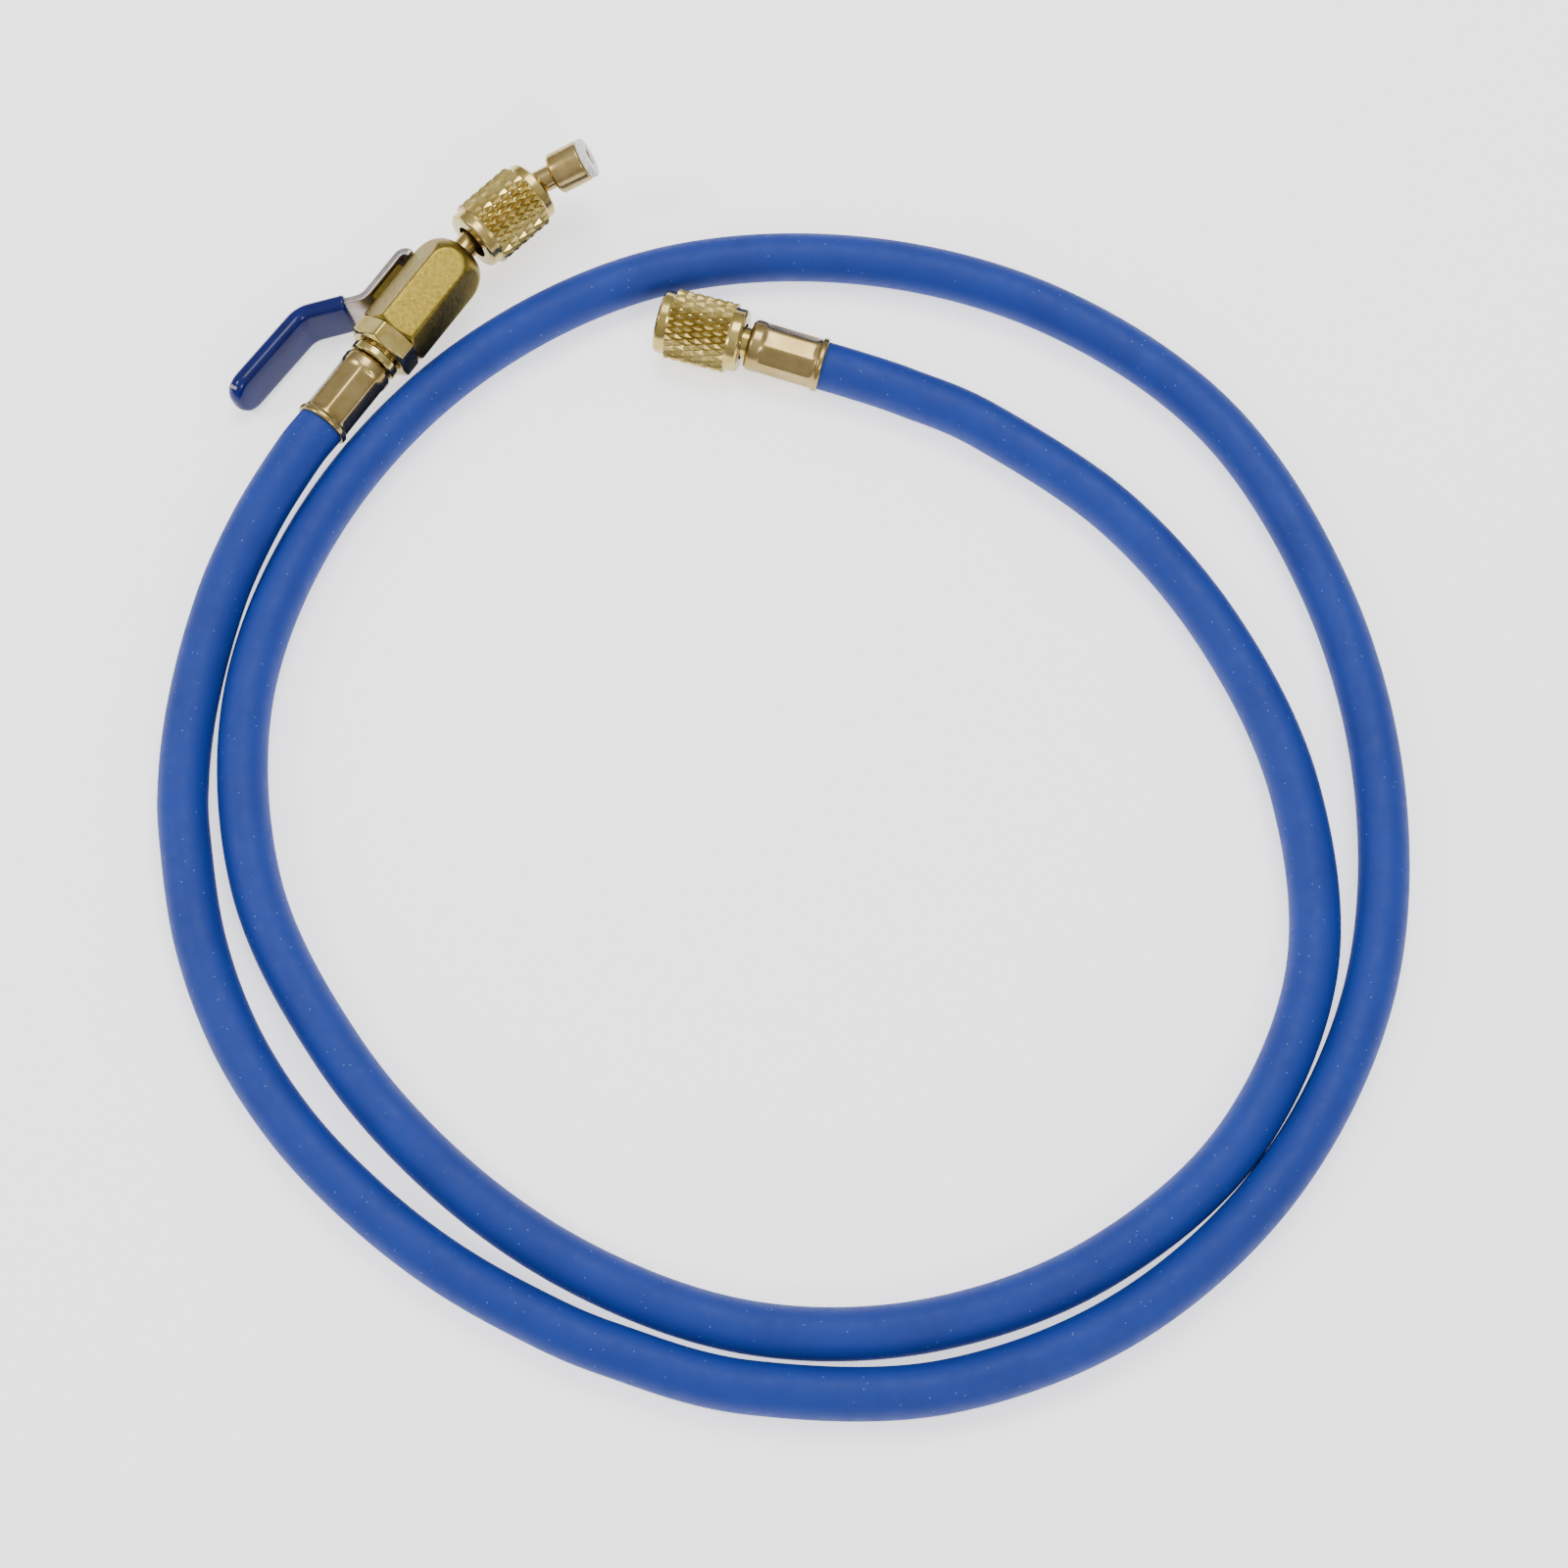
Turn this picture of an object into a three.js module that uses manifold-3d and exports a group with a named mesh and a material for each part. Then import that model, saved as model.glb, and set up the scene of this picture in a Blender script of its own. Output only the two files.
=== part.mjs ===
// Refrigerant charging hose, lying loosely coiled on a level surface, in millimetres with +Z up.
// One end has a quarter-turn ball valve with a bent neck tube, the other a straight hose end.
// Each end is built along its own +Z axis, from the hose outwards, and then laid in place.
import * as THREE from "three";
import { mergeVertices } from "three/addons/utils/BufferGeometryUtils.js";
import Module from "manifold-3d";

const wasm = await Module();
wasm.setup();

// Driving dimensions
const gap = 0.3; // between pieces that touch on the real hose
const running = 0.35; // between pieces that turn on each other
const edgeRound = 0.4; // the small chamfer on turned edges
const pastFace = 1; // how far a cutting form runs past the face that it opens
const intoJoin = 0.5; // how far a joined form runs into its neighbour
const roundSides = 36;
const smallSides = 24;
const boreSides = 12;
const bendSteps = 6;

// Hose
const hoseDiameter = 11.0;
const hoseSides = 12;
const hoseSteps = 80;
const hoseFloorGap = 0.05;
const hoseStraight = 7.5; // straight out of each ferrule before it bends

// Crimped ferrules, both ends alike but for the length
const ferruleLengthValve = 18.4;
const ferruleLengthStraight = 17.6;
const ferruleRimDiameter = 12.5;
const ferruleCrimpFlats = 11.0; // across the crimp's flats
const ferruleCrimpCorners = 11.6;
const ferruleNeckDiameter = 11.8; // the swelling between the crimp and the end
const ferruleEndDiameter = 10.4;
const ferruleCrimps = 8;
const ferruleRimLength = 1.6;
const ferruleNeckLength = 3.6;
const ferruleRamp = 0.8; // between the rim and the pressed flats
const ferruleSwellRise = 0.9;
const ferruleSides = 5 * ferruleCrimps;
const barbDiameter = 5.0;
const barbStart = 1.0; // inside the ferrule, from its rim
const boreDiameter = 3.4; // the flow bore through barbs, adapter and tube

// Adapter between hose and valve
const collarDiameter = 11.7;
const collarLength = 2.3;
const grooveDiameter = 9.6;
const grooveLength = 0.5;
const adapterFlats = 14.2;
const adapterLength = 4.6;
const adapterChamfer = 0.9;
const adapterTurn = 10; // degrees that its hexagon is turned from the body's

// Valve body
const bodyFlats = 14.5;
const bodyLength = 26.2;
const domeLength = 7.5;
const domeEndDiameter = 7.6;
const domeSteps = 8;
const bodySides = 48;
const bodyChamfer = 0.9;
const pivotFromBodyEnd = 10.4; // from the adapter's end of the body to the stem's axis
const padLength = 10.4;
const padWidth = 8.2;
const padHeight = 1.6;
const padDepth = 3.0; // with the part of it that runs into the body

// Ball, seats and stem
const ballDiameter = 8.4;
const ballBore = 4.2;
const seatBore = 4.8;
const seatBeyondBall = 1.0;
const seatLip = 0.7;
const ballRows = 16;
const stemDiameter = 4.4;
const tongueWidth = 1.5;
const tongueDepth = 1.2;
const tongueLength = 3.5;
const stemWaistDiameter = 3.0;
const rivetDiameter = 6.4;
const rivetThickness = 1.1;
const rivetChamfer = 0.8;

// Lever and grip
const stripThickness = 1.8;
const stripWidth = 9.4;
const tabReach = 8.4; // from the stem's axis to the middle of the stop tab
const tabClearance = 0.5;
const bendFromStem = 6.2; // from the stem's axis to the start of the offset bend
const leverOffset = 10.9; // from the strip on the valve to the strip in the grip
const offsetRun = 10.6; // the offset bend's length along the valve
const gripRun = 23.4;
const gripFlare = 1.0; // how much further out the grip's tip lies
const tabBendRadius = 1.8;
const innerBendRadius = 4.0;
const outerBendRadius = 6.0;
const gripWall = 0.8;
const gripSideWall = 0.5;
const gripStartFraction = 0.3; // of the offset bend that is left bare
const gripEndCover = 1.6;
const gripCorner = 4.9; // radius of the corners at its tip
const gripPast = 3; // how far the form that hollows it runs out of it

// Neck tube and head
const tubeDiameter = 5.6;
const tubeSocket = 4.0; // the tube's length inside the body
const neckBeforeCorner = 16.2; // from the dome's end to the corner of the neck's two straight lines
const neckAfterCorner = 13.4;
const neckBendRadius = 14;
const neckBendAngle = 40;
const neckBendTurn = 163; // degrees about the valve's axis, from the stem's side
const neckBendSteps = 8;
const neckSections = 20;
const headDiameter = 9.6;
const headLength = 7.8;
const headChamfer = 0.6;
const sealDiameter = 9.3;
const sealBore = 3.9;
const sealLip = 0.6; // how far its flange stands over its socket
const sealProud = 1.5;
const sealSocketDepth = 2.0;
const bladeWidth = 2.6;
const bladeThickness = 0.8;
const bladeLength = 3.0;
const bladeRecess = 0.5;

// Knurled nuts, alike at both ends
const nutDiameter = 16.0;
const nutShoulderDiameter = 14.3;
const nutLength = 19.5;
const nutShoulderLength = 2.3;
const nutThreadBore = 11.0;
const nutWall = 3.0; // the wall with the hole for the tube
const nutChamfer = 0.5;
const nutHole = 8.4;

// Straight end's nipple
const nippleDiameter = 7.0;
const nippleHeadDiameter = 9.2;
const nippleHeadLength = 4.0;
const nippleHeadChamfer = 0.8;
const nippleBare = 1.0; // of it that shows between ferrule and nut
const nippleNutPlay = 1.0; // how far the loose nut can slide on the nipple
const nutSealThickness = 1.8;
const nutSealSeatDiameter = 7.2;
const nutSealSeatDepth = 1.0;

// How the two ends lie
const valvePlace = [-103.3, 82.9];
const valveHeading = 55.4;
const valveRise = 0.5;
const valveRoll = 14; // how far the stem's axis points below the horizontal
const straightPlace = [8.9, 100.4];
const straightHeading = 164.0;
const straightNutTurn = 0.2; // the loose nut's heading against the nipple's
const neckNutPlace = [-0.6, 0.2, 3.6]; // the loose nut's wall, seen from the dome's end
const neckNutLean = 10.8; // degrees that it leans over, as it hangs on the bent tube
const neckNutLeanTurn = 192; // towards this side, from the stem's side

// The hose's route on the floor between the two ends, anticlockwise, as it lies
const routePoints = [
  [-115.2, 62.9, 10.4], [-121.3, 49.0, 9.0], [-124.9, 37.3, 7.9], [-127.5, 25.4, 6.9],
  [-129.2, 13.3, 6.1], [-129.7, 1.0, 5.7], [-128.8, -11.2], [-124.1, -35.0], [-115.3, -56.8],
  [-102.6, -75.8], [-87.3, -91.5], [-70.8, -104.4], [-53.3, -114.5], [-35.2, -122.4], [-6.8, -130.1],
  [33.0, -129.9], [71.6, -114.9], [103.5, -85.7], [123.9, -45.5], [128.5, 0.4], [119.3, 46.1],
  [96.7, 87.6], [59.3, 115.7], [14.9, 127.9], [-30.8, 123.9], [-71.2, 101.6], [-101.0, 66.2],
  [-116.5, 22.7], [-113.0, -22.0], [-94.0, -59.1], [-68.7, -87.1], [-39.2, -106.9], [-5.8, -118.1],
  [29.9, -117.4], [64.8, -104.6], [94.7, -79.1], [111.7, -42.0], [110.2, -1.3], [96.1, 34.6],
  [74.2, 63.9], [45.8, 85.3], [28.0, 93.9],
];

// Colours and finishes
const finish = (color, roughness, metalness) =>
  new THREE.MeshStandardMaterial({ color, roughness, metalness });
const blueRubber = finish("#1d55ae", 0.6, 0);
const brass = finish("#b9a35b", 0.32, 1);
const paleBrass = finish("#c9b27c", 0.25, 1);
const platedSteel = finish("#a9a4a0", 0.3, 1);
const blueVinyl = finish("#182c66", 0.25, 0);
const whiteSeal = finish("#eceae4", 0.5, 0);

const radians = THREE.MathUtils.degToRad;

// Solids to meshes and back
function closed(geometry) {
  const bare = geometry.clone();
  bare.deleteAttribute("normal");
  bare.deleteAttribute("uv");
  return mergeVertices(bare, 1e-4);
}

function solid(geometry) {
  const merged = closed(geometry);
  return new wasm.Manifold(new wasm.Mesh({
    numProp: 3,
    vertProperties: new Float32Array(merged.attributes.position.array),
    triVerts: new Uint32Array(merged.index.array),
  }));
}

function geometryOf(manifold) {
  const mesh = manifold.getMesh();
  const geometry = new THREE.BufferGeometry();
  geometry.setAttribute("position", new THREE.BufferAttribute(mesh.vertProperties, 3));
  geometry.setIndex(new THREE.BufferAttribute(mesh.triVerts, 1));
  return geometry;
}

function cut(body, ...tools) {
  return geometryOf(tools.reduce((rest, tool) => rest.subtract(solid(tool)), solid(body)));
}

function join(...bodies) {
  return geometryOf(bodies.map(solid).reduce((whole, one) => whole.add(one)));
}

function common(...bodies) {
  return geometryOf(bodies.map(solid).reduce((shared, one) => shared.intersect(one)));
}

function piece(name, geometry, material) {
  const flat = geometry.index ? geometry.toNonIndexed() : geometry;
  flat.computeVertexNormals();
  const mesh = new THREE.Mesh(flat, material);
  mesh.name = name;
  return mesh;
}

// Basic forms along +Z
function turned(outline, sides = roundSides) {
  // outline: [z, radius] pairs, from the low end out and up, and back down the bore if there is one
  const points = outline.map(([z, radius]) => new THREE.Vector2(radius, z));
  if (outline.some(([, radius]) => radius > 0) && outline[0][1] > 0) points.push(points[0].clone());
  return new THREE.LatheGeometry(points, sides).rotateX(Math.PI / 2);
}

function rod(diameter, low, high, sides = smallSides) {
  return turned([[low, 0], [low, diameter / 2], [high, diameter / 2], [high, 0]], sides);
}

function ring(diameter, bore, low, high, sides = smallSides) {
  return turned([[low, bore / 2], [low, diameter / 2], [high, diameter / 2], [high, bore / 2]], sides);
}

function hexagon(acrossFlats, low, high) {
  const radius = acrossFlats / 2 / Math.cos(Math.PI / 6);
  const corners = Array.from({ length: 6 }, (_, side) => {
    const angle = radians(30 + 60 * side);
    return new THREE.Vector2(radius * Math.cos(angle), radius * Math.sin(angle));
  });
  return new THREE.ExtrudeGeometry(new THREE.Shape(corners), { depth: high - low, bevelEnabled: false })
    .translate(0, 0, low);
}

function block(x, y, z, sizeX, sizeY, sizeZ) {
  return new THREE.BoxGeometry(sizeX, sizeY, sizeZ).translate(x, y, z);
}

// A turn of a +Z form so that it points along +X
const alongX = (geometry) => geometry.rotateY(Math.PI / 2);

// Ferrule: a round shell pressed to eight flats over the hose's end
function ferrule(length) {
  const rim = ferruleRimDiameter / 2;
  const corner = ferruleCrimpCorners / 2;
  const neck = ferruleNeckDiameter / 2;
  const end = ferruleEndDiameter / 2;
  const crimpLow = ferruleRimLength + ferruleRamp;
  const crimpHigh = length - ferruleNeckLength;
  const outline = [
    [0, rim - edgeRound / 2], [edgeRound, rim], [ferruleRimLength - edgeRound, rim], [ferruleRimLength, corner],
    [crimpLow, corner], [crimpHigh, corner], [crimpHigh + ferruleSwellRise, neck],
    [length - ferruleSwellRise, neck], [length - edgeRound, (neck + end) / 2],
    [length, end], [length, barbDiameter / 2 + gap], [0, barbDiameter / 2 + gap],
  ];
  const shell = turned(outline, ferruleSides);
  const places = shell.getAttribute("position");
  for (let i = 0; i < places.count; i += 1) {
    const [x, y, z] = [places.getX(i), places.getY(i), places.getZ(i)];
    const radius = Math.hypot(x, y);
    const onCrimp = z > ferruleRimLength + ferruleRamp / 2 && z < crimpHigh + ferruleSwellRise / 2;
    if (!onCrimp || radius < end) continue;
    const step = (2 * Math.PI) / ferruleCrimps;
    const offFlat = ((((Math.atan2(y, x) % step) + step) % step) - step / 2);
    const pressed = Math.min(corner, ferruleCrimpFlats / 2 / Math.cos(offFlat));
    places.setXY(i, (x / radius) * pressed, (y / radius) * pressed);
  }
  return shell;
}

// Knurled nut from its wall with the tube's hole (z = 0) to its threaded mouth
function nut() {
  const shoulder = nutShoulderDiameter / 2;
  const knurl = nutDiameter / 2;
  const high = nutLength - nutShoulderLength;
  return turned([
    [0, nutHole / 2], [0, shoulder - nutChamfer], [nutChamfer, shoulder], [nutShoulderLength, shoulder],
    [nutShoulderLength + nutChamfer, knurl], [high - nutChamfer, knurl], [high, shoulder],
    [nutLength - nutChamfer, shoulder], [nutLength, shoulder - nutChamfer],
    [nutLength, nutThreadBore / 2 + nutChamfer], [nutLength - nutChamfer, nutThreadBore / 2],
    [nutWall, nutThreadBore / 2], [nutWall, nutHole / 2],
  ]);
}

// Valve end, along its own +Z from the hose's exit, with the stem on +X
const collarStart = ferruleLengthValve + gap;
const collarEnd = collarStart + collarLength;
const adapterHexStart = collarEnd + grooveLength;
const bodyStart = adapterHexStart + adapterLength + gap;
const bodyEnd = bodyStart + bodyLength;
const pivotZ = bodyStart + pivotFromBodyEnd;
const chamberDiameter = ballDiameter + 2 * running;
const seatFar = ballDiameter / 2 + seatBeyondBall;
const chamberEnd = pivotZ + seatFar + gap;
const bodyCorners = bodyFlats / Math.cos(Math.PI / 6);
const padTop = bodyFlats / 2 + padHeight;
const stripX = padTop + gap + stripThickness / 2; // middle of the strip on the valve
const stemShoulder = padTop;
const rivetSeat = stripX + stripThickness / 2 + gap;

function adapter() {
  const corners = adapterFlats / Math.cos(Math.PI / 6);
  const hexEnd = adapterHexStart + adapterLength;
  const nose = pivotZ - seatFar - gap;
  const envelope = turned([
    [adapterHexStart, 0], [adapterHexStart, adapterFlats / 2 - edgeRound],
    [adapterHexStart + adapterChamfer, corners / 2],
    [hexEnd, corners / 2], [hexEnd, 0],
  ]);
  const hex = common(envelope, hexagon(adapterFlats, adapterHexStart, hexEnd).rotateZ(radians(adapterTurn)));
  const turnedPart = turned([
    [barbStart, 0], [barbStart, barbDiameter / 2], [collarStart, barbDiameter / 2],
    [collarStart, collarDiameter / 2 - edgeRound], [collarStart + edgeRound, collarDiameter / 2],
    [collarEnd - edgeRound, collarDiameter / 2], [collarEnd, collarDiameter / 2 - edgeRound],
    [collarEnd, grooveDiameter / 2], [hexEnd - intoJoin, grooveDiameter / 2],
    [hexEnd - intoJoin, chamberDiameter / 2 - gap], [nose, chamberDiameter / 2 - gap], [nose, 0],
  ]);
  return cut(join(turnedPart, hex), rod(boreDiameter, 0, nose + pastFace));
}

function valveBody() {
  const dome = Array.from({ length: domeSteps }, (_, i) => {
    const share = (i + 1) / domeSteps;
    const rise = Math.sqrt(1 - share * share);
    const end = domeEndDiameter / 2;
    return [bodyEnd - domeLength + share * domeLength, end + (bodyCorners / 2 - end) * rise];
  });
  const envelope = turned([
    [bodyStart, 0], [bodyStart, bodyFlats / 2], [bodyStart + bodyChamfer, bodyCorners / 2],
    [bodyEnd - domeLength, bodyCorners / 2], ...dome, [bodyEnd, 0],
  ], bodySides);
  const bar = common(envelope, hexagon(bodyFlats, bodyStart, bodyEnd));
  const pad = block(padTop - padDepth / 2, 0, pivotZ, padDepth, padWidth, padLength);
  return cut(
    join(bar, pad),
    rod(chamberDiameter, bodyStart - pastFace, chamberEnd, roundSides),
    rod(boreDiameter, chamberEnd - pastFace, bodyEnd + pastFace),
    rod(tubeDiameter + 2 * gap, bodyEnd - tubeSocket - gap, bodyEnd + pastFace),
    alongX(rod(stemDiameter + 2 * running, 0, padTop + pastFace)).translate(0, 0, pivotZ),
  );
}

function seat(side) {
  // side -1: towards the hose, +1: towards the head
  const near = ballDiameter / 2 + running;
  const face = (radius) => Math.sqrt(near * near - radius * radius);
  const inner = seatBore / 2;
  const outer = ballDiameter / 2 + running - gap;
  const lip = outer - seatLip;
  const outline = [[face(lip), lip], [face(lip), outer], [seatFar, outer], [seatFar, inner], [face(inner), inner]];
  const shape = turned(outline);
  return (side > 0 ? shape : shape.rotateX(Math.PI)).translate(0, 0, pivotZ);
}

function valveBall() {
  const slotFloor = ballDiameter / 2 - tongueDepth - gap;
  return cut(
    new THREE.SphereGeometry(ballDiameter / 2, smallSides, ballRows).rotateX(Math.PI / 2),
    rod(ballBore, -ballDiameter, ballDiameter),
    block(slotFloor + ballDiameter / 2, 0, 0, ballDiameter, tongueWidth + 2 * gap, ballDiameter * 2),
  ).translate(0, 0, pivotZ);
}

function valveStem() {
  const tongueStart = ballDiameter / 2 - tongueDepth;
  const shaftStart = ballDiameter / 2 + gap;
  const shaft = alongX(turned([
    [shaftStart, 0], [shaftStart, stemDiameter / 2], [stemShoulder, stemDiameter / 2],
    [stemShoulder, stemWaistDiameter / 2], [rivetSeat, stemWaistDiameter / 2], [rivetSeat, rivetDiameter / 2],
    [rivetSeat + rivetThickness / 2, rivetDiameter / 2],
    [rivetSeat + rivetThickness, rivetDiameter / 2 - rivetChamfer],
    [rivetSeat + rivetThickness, 0],
  ], smallSides));
  const tongueHeight = shaftStart + intoJoin - tongueStart;
  const tongue = block(tongueStart + tongueHeight / 2, 0, 0, tongueHeight, tongueWidth, tongueLength);
  return join(shaft, tongue).translate(0, 0, pivotZ);
}

// The lever's middle line in the plane of the stem and the valve, as rounded corners
function rounded(corners, radii) {
  const line = [corners[0]];
  for (let i = 1; i < corners.length - 1; i += 1) {
    const [before, at, after] = [corners[i - 1], corners[i], corners[i + 1]];
    const back = before.clone().sub(at).normalize();
    const on = after.clone().sub(at).normalize();
    const half = back.angleTo(on) / 2;
    const reach = radii[i - 1] / Math.tan(half);
    const start = at.clone().addScaledVector(back, reach);
    const end = at.clone().addScaledVector(on, reach);
    const centre = at.clone().addScaledVector(back.clone().add(on).normalize(), radii[i - 1] / Math.sin(half));
    const from = start.clone().sub(centre);
    const to = end.clone().sub(centre);
    for (let step = 0; step <= bendSteps; step += 1) {
      const share = step / bendSteps;
      line.push(from.clone().lerp(to, share).setLength(radii[i - 1]).add(centre));
    }
  }
  line.push(corners[corners.length - 1]);
  return line;
}

function strip(line, thickness, width) {
  const side = (sign) => line.map((point, i) => {
    const next = line[Math.min(i + 1, line.length - 1)];
    const last = line[Math.max(i - 1, 0)];
    const along = next.clone().sub(last).normalize();
    return new THREE.Vector2(point.x - sign * along.y * thickness / 2, point.y + sign * along.x * thickness / 2);
  });
  const outline = [...side(1), ...side(-1).reverse()];
  // The outline's x is the valve's x and its y is the valve's z; the width runs along the valve's y.
  return new THREE.ExtrudeGeometry(new THREE.Shape(outline), { depth: width, bevelEnabled: false })
    .translate(0, 0, -width / 2)
    .rotateX(Math.PI / 2);
}

const tabTipX = bodyFlats / 2 + tabClearance;
const bendZ = pivotZ - bendFromStem;
const gripX = stripX + leverOffset;
const gripZ = bendZ - offsetRun;
const leverCorners = [
  new THREE.Vector2(tabTipX, pivotZ + tabReach),
  new THREE.Vector2(stripX, pivotZ + tabReach),
  new THREE.Vector2(stripX, bendZ),
  new THREE.Vector2(gripX, gripZ),
  new THREE.Vector2(gripX + gripFlare, gripZ - gripRun),
];
const leverRadii = [tabBendRadius, innerBendRadius, outerBendRadius];
const gripCorners = [
  leverCorners[2].clone().lerp(leverCorners[3], gripStartFraction),
  leverCorners[3],
  leverCorners[4],
];

function leverStrip() {
  const hole = alongX(rod(stemWaistDiameter + 2 * gap, padTop, rivetSeat + pastFace)).translate(0, 0, pivotZ);
  return cut(strip(rounded(leverCorners, leverRadii), stripThickness, stripWidth), hole);
}

function leverGrip() {
  const thickness = stripThickness + 2 * (gap + gripWall);
  const width = stripWidth + 2 * (gap + gripSideWall);
  const end = gripCorners[2].clone();
  const along = end.clone().sub(gripCorners[1]).normalize();
  const outer = strip(rounded([gripCorners[0], gripCorners[1], end.clone().addScaledVector(along, gripEndCover)],
    [outerBendRadius]), thickness, width);
  const inward = gripCorners[0].clone().sub(gripCorners[1]).normalize();
  const start = gripCorners[0].clone().addScaledVector(inward, gripPast);
  const socket = strip(rounded([start, gripCorners[1], end.clone().addScaledVector(along, gap)],
    [outerBendRadius]), stripThickness + 2 * gap, stripWidth + 2 * gap);
  const tipZ = end.y - gripEndCover;
  const side = width / 2 - gripCorner;
  const plan = new THREE.Shape();
  plan.moveTo(-width / 2, tipZ + gripCorner);
  plan.absarc(-side, tipZ + gripCorner, gripCorner, Math.PI, Math.PI * 1.5);
  plan.absarc(side, tipZ + gripCorner, gripCorner, Math.PI * 1.5, Math.PI * 2);
  plan.lineTo(width / 2, bendZ);
  plan.lineTo(-width / 2, bendZ);
  const depth = 2 * gripX;
  const outline = new THREE.ExtrudeGeometry(plan, { depth, bevelEnabled: false, curveSegments: bendSteps })
    .rotateX(Math.PI / 2)
    .rotateZ(Math.PI / 2);
  return cut(common(outer, outline), socket);
}

// Neck tube: straight out of the dome, round one bend, and straight into the head
const bendSide = new THREE.Vector3(Math.cos(radians(neckBendTurn)), Math.sin(radians(neckBendTurn)), 0);
const neckOut = new THREE.Vector3(0, 0, 1);
const headAxis = neckOut.clone().multiplyScalar(Math.cos(radians(neckBendAngle)))
  .addScaledVector(bendSide, Math.sin(radians(neckBendAngle)));
const neckCorner = new THREE.Vector3(0, 0, bodyEnd + neckBeforeCorner);
const headStart = neckCorner.clone().addScaledVector(headAxis, neckAfterCorner);

function neckPath(startZ, beyondHead) {
  const half = radians(neckBendAngle) / 2;
  const reach = neckBendRadius * Math.tan(half);
  const bendStart = neckCorner.clone().addScaledVector(neckOut, -reach);
  const bendEnd = neckCorner.clone().addScaledVector(headAxis, reach);
  const path = new THREE.CurvePath();
  path.add(new THREE.LineCurve3(new THREE.Vector3(0, 0, startZ), bendStart));
  const centre = bendStart.clone().addScaledVector(bendSide, neckBendRadius);
  const arc = Array.from({ length: neckBendSteps + 1 }, (_, i) => {
    const angle = radians(neckBendAngle) * (i / neckBendSteps);
    return centre.clone()
      .addScaledVector(bendSide, -neckBendRadius * Math.cos(angle))
      .addScaledVector(neckOut, neckBendRadius * Math.sin(angle));
  });
  arc.slice(1).forEach((point, i) => path.add(new THREE.LineCurve3(arc[i], point)));
  path.add(new THREE.LineCurve3(bendEnd, headStart.clone().addScaledVector(headAxis, beyondHead)));
  return path;
}

function tubeAlong(path, diameter, steps, sides) {
  const section = new THREE.Shape(Array.from({ length: sides }, (_, i) => {
    const angle = (2 * Math.PI * i) / sides;
    return new THREE.Vector2((diameter / 2) * Math.cos(angle), (diameter / 2) * Math.sin(angle));
  }));
  return new THREE.ExtrudeGeometry(section, { steps, extrudePath: path, bevelEnabled: false });
}

// Turns a form made along +Z so that it starts at a place and points along an axis
function laidAlong(geometry, start, axis) {
  const turn = new THREE.Quaternion().setFromUnitVectors(neckOut, axis);
  return geometry.applyQuaternion(turn).translate(start.x, start.y, start.z);
}

function neckTube() {
  const head = laidAlong(turned([
    [0, 0], [0, headDiameter / 2 - headChamfer], [headChamfer, headDiameter / 2],
    [headLength - edgeRound, headDiameter / 2], [headLength, headDiameter / 2 - edgeRound], [headLength, 0],
  ]), headStart, headAxis);
  const low = bodyEnd - tubeSocket;
  const high = headLength + pastFace;
  const tube = tubeAlong(neckPath(low, intoJoin), tubeDiameter, neckSections, smallSides);
  const bore = tubeAlong(neckPath(low - pastFace, high), boreDiameter, neckSections, boreSides);
  const socket = laidAlong(rod(sealDiameter - 2 * sealLip, headLength - sealSocketDepth, high), headStart, headAxis);
  return cut(join(tube, head), bore, socket);
}

function headSeal() {
  const inSocket = sealDiameter / 2 - sealLip - gap;
  const low = headLength - sealSocketDepth + gap;
  return laidAlong(turned([
    [low, sealBore / 2], [low, inSocket], [headLength + gap, inSocket], [headLength + gap, sealDiameter / 2],
    [headLength + sealProud - edgeRound, sealDiameter / 2],
    [headLength + sealProud, sealDiameter / 2 - edgeRound],
    [headLength + sealProud, sealBore / 2],
  ]), headStart, headAxis);
}

function coreDepressor() {
  const high = headLength + sealProud - bladeRecess;
  return laidAlong(block(0, 0, high - bladeLength / 2, bladeWidth, bladeThickness, bladeLength), headStart, headAxis);
}

// Loose nut on the neck, hanging a little askew
const neckNut = new THREE.Group();
{
  const [x, y, z] = neckNutPlace;
  const lean = radians(neckNutLean);
  const side = radians(neckNutLeanTurn);
  const axis = new THREE.Vector3(Math.sin(lean) * Math.cos(side), Math.sin(lean) * Math.sin(side), Math.cos(lean));
  neckNut.position.set(x, y, bodyEnd + z);
  neckNut.quaternion.setFromUnitVectors(neckOut, axis);
  neckNut.add(piece("knurled_nut_valve_end", nut(), brass));
}

const valveEnd = new THREE.Group();
valveEnd.add(
  piece("ferrule_valve_end", ferrule(ferruleLengthValve), paleBrass),
  piece("hose_adapter", adapter(), brass),
  piece("valve_body", valveBody(), brass),
  piece("seat_hose_side", seat(-1), whiteSeal),
  piece("seat_head_side", seat(1), whiteSeal),
  piece("valve_ball", valveBall(), platedSteel),
  piece("valve_stem", valveStem(), brass),
  piece("lever", leverStrip(), platedSteel),
  piece("lever_grip", leverGrip(), blueVinyl),
  piece("neck_tube", neckTube(), paleBrass),
  piece("head_seal", headSeal(), whiteSeal),
  piece("core_depressor", coreDepressor(), paleBrass),
  neckNut,
);

// Straight end, along its own +Z from the hose's exit
const nippleCollar = ferruleLengthStraight + gap;
const straightNutBack = nippleCollar + nippleBare;
const nippleHeadStart = straightNutBack + nutWall + nippleNutPlay;

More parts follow.
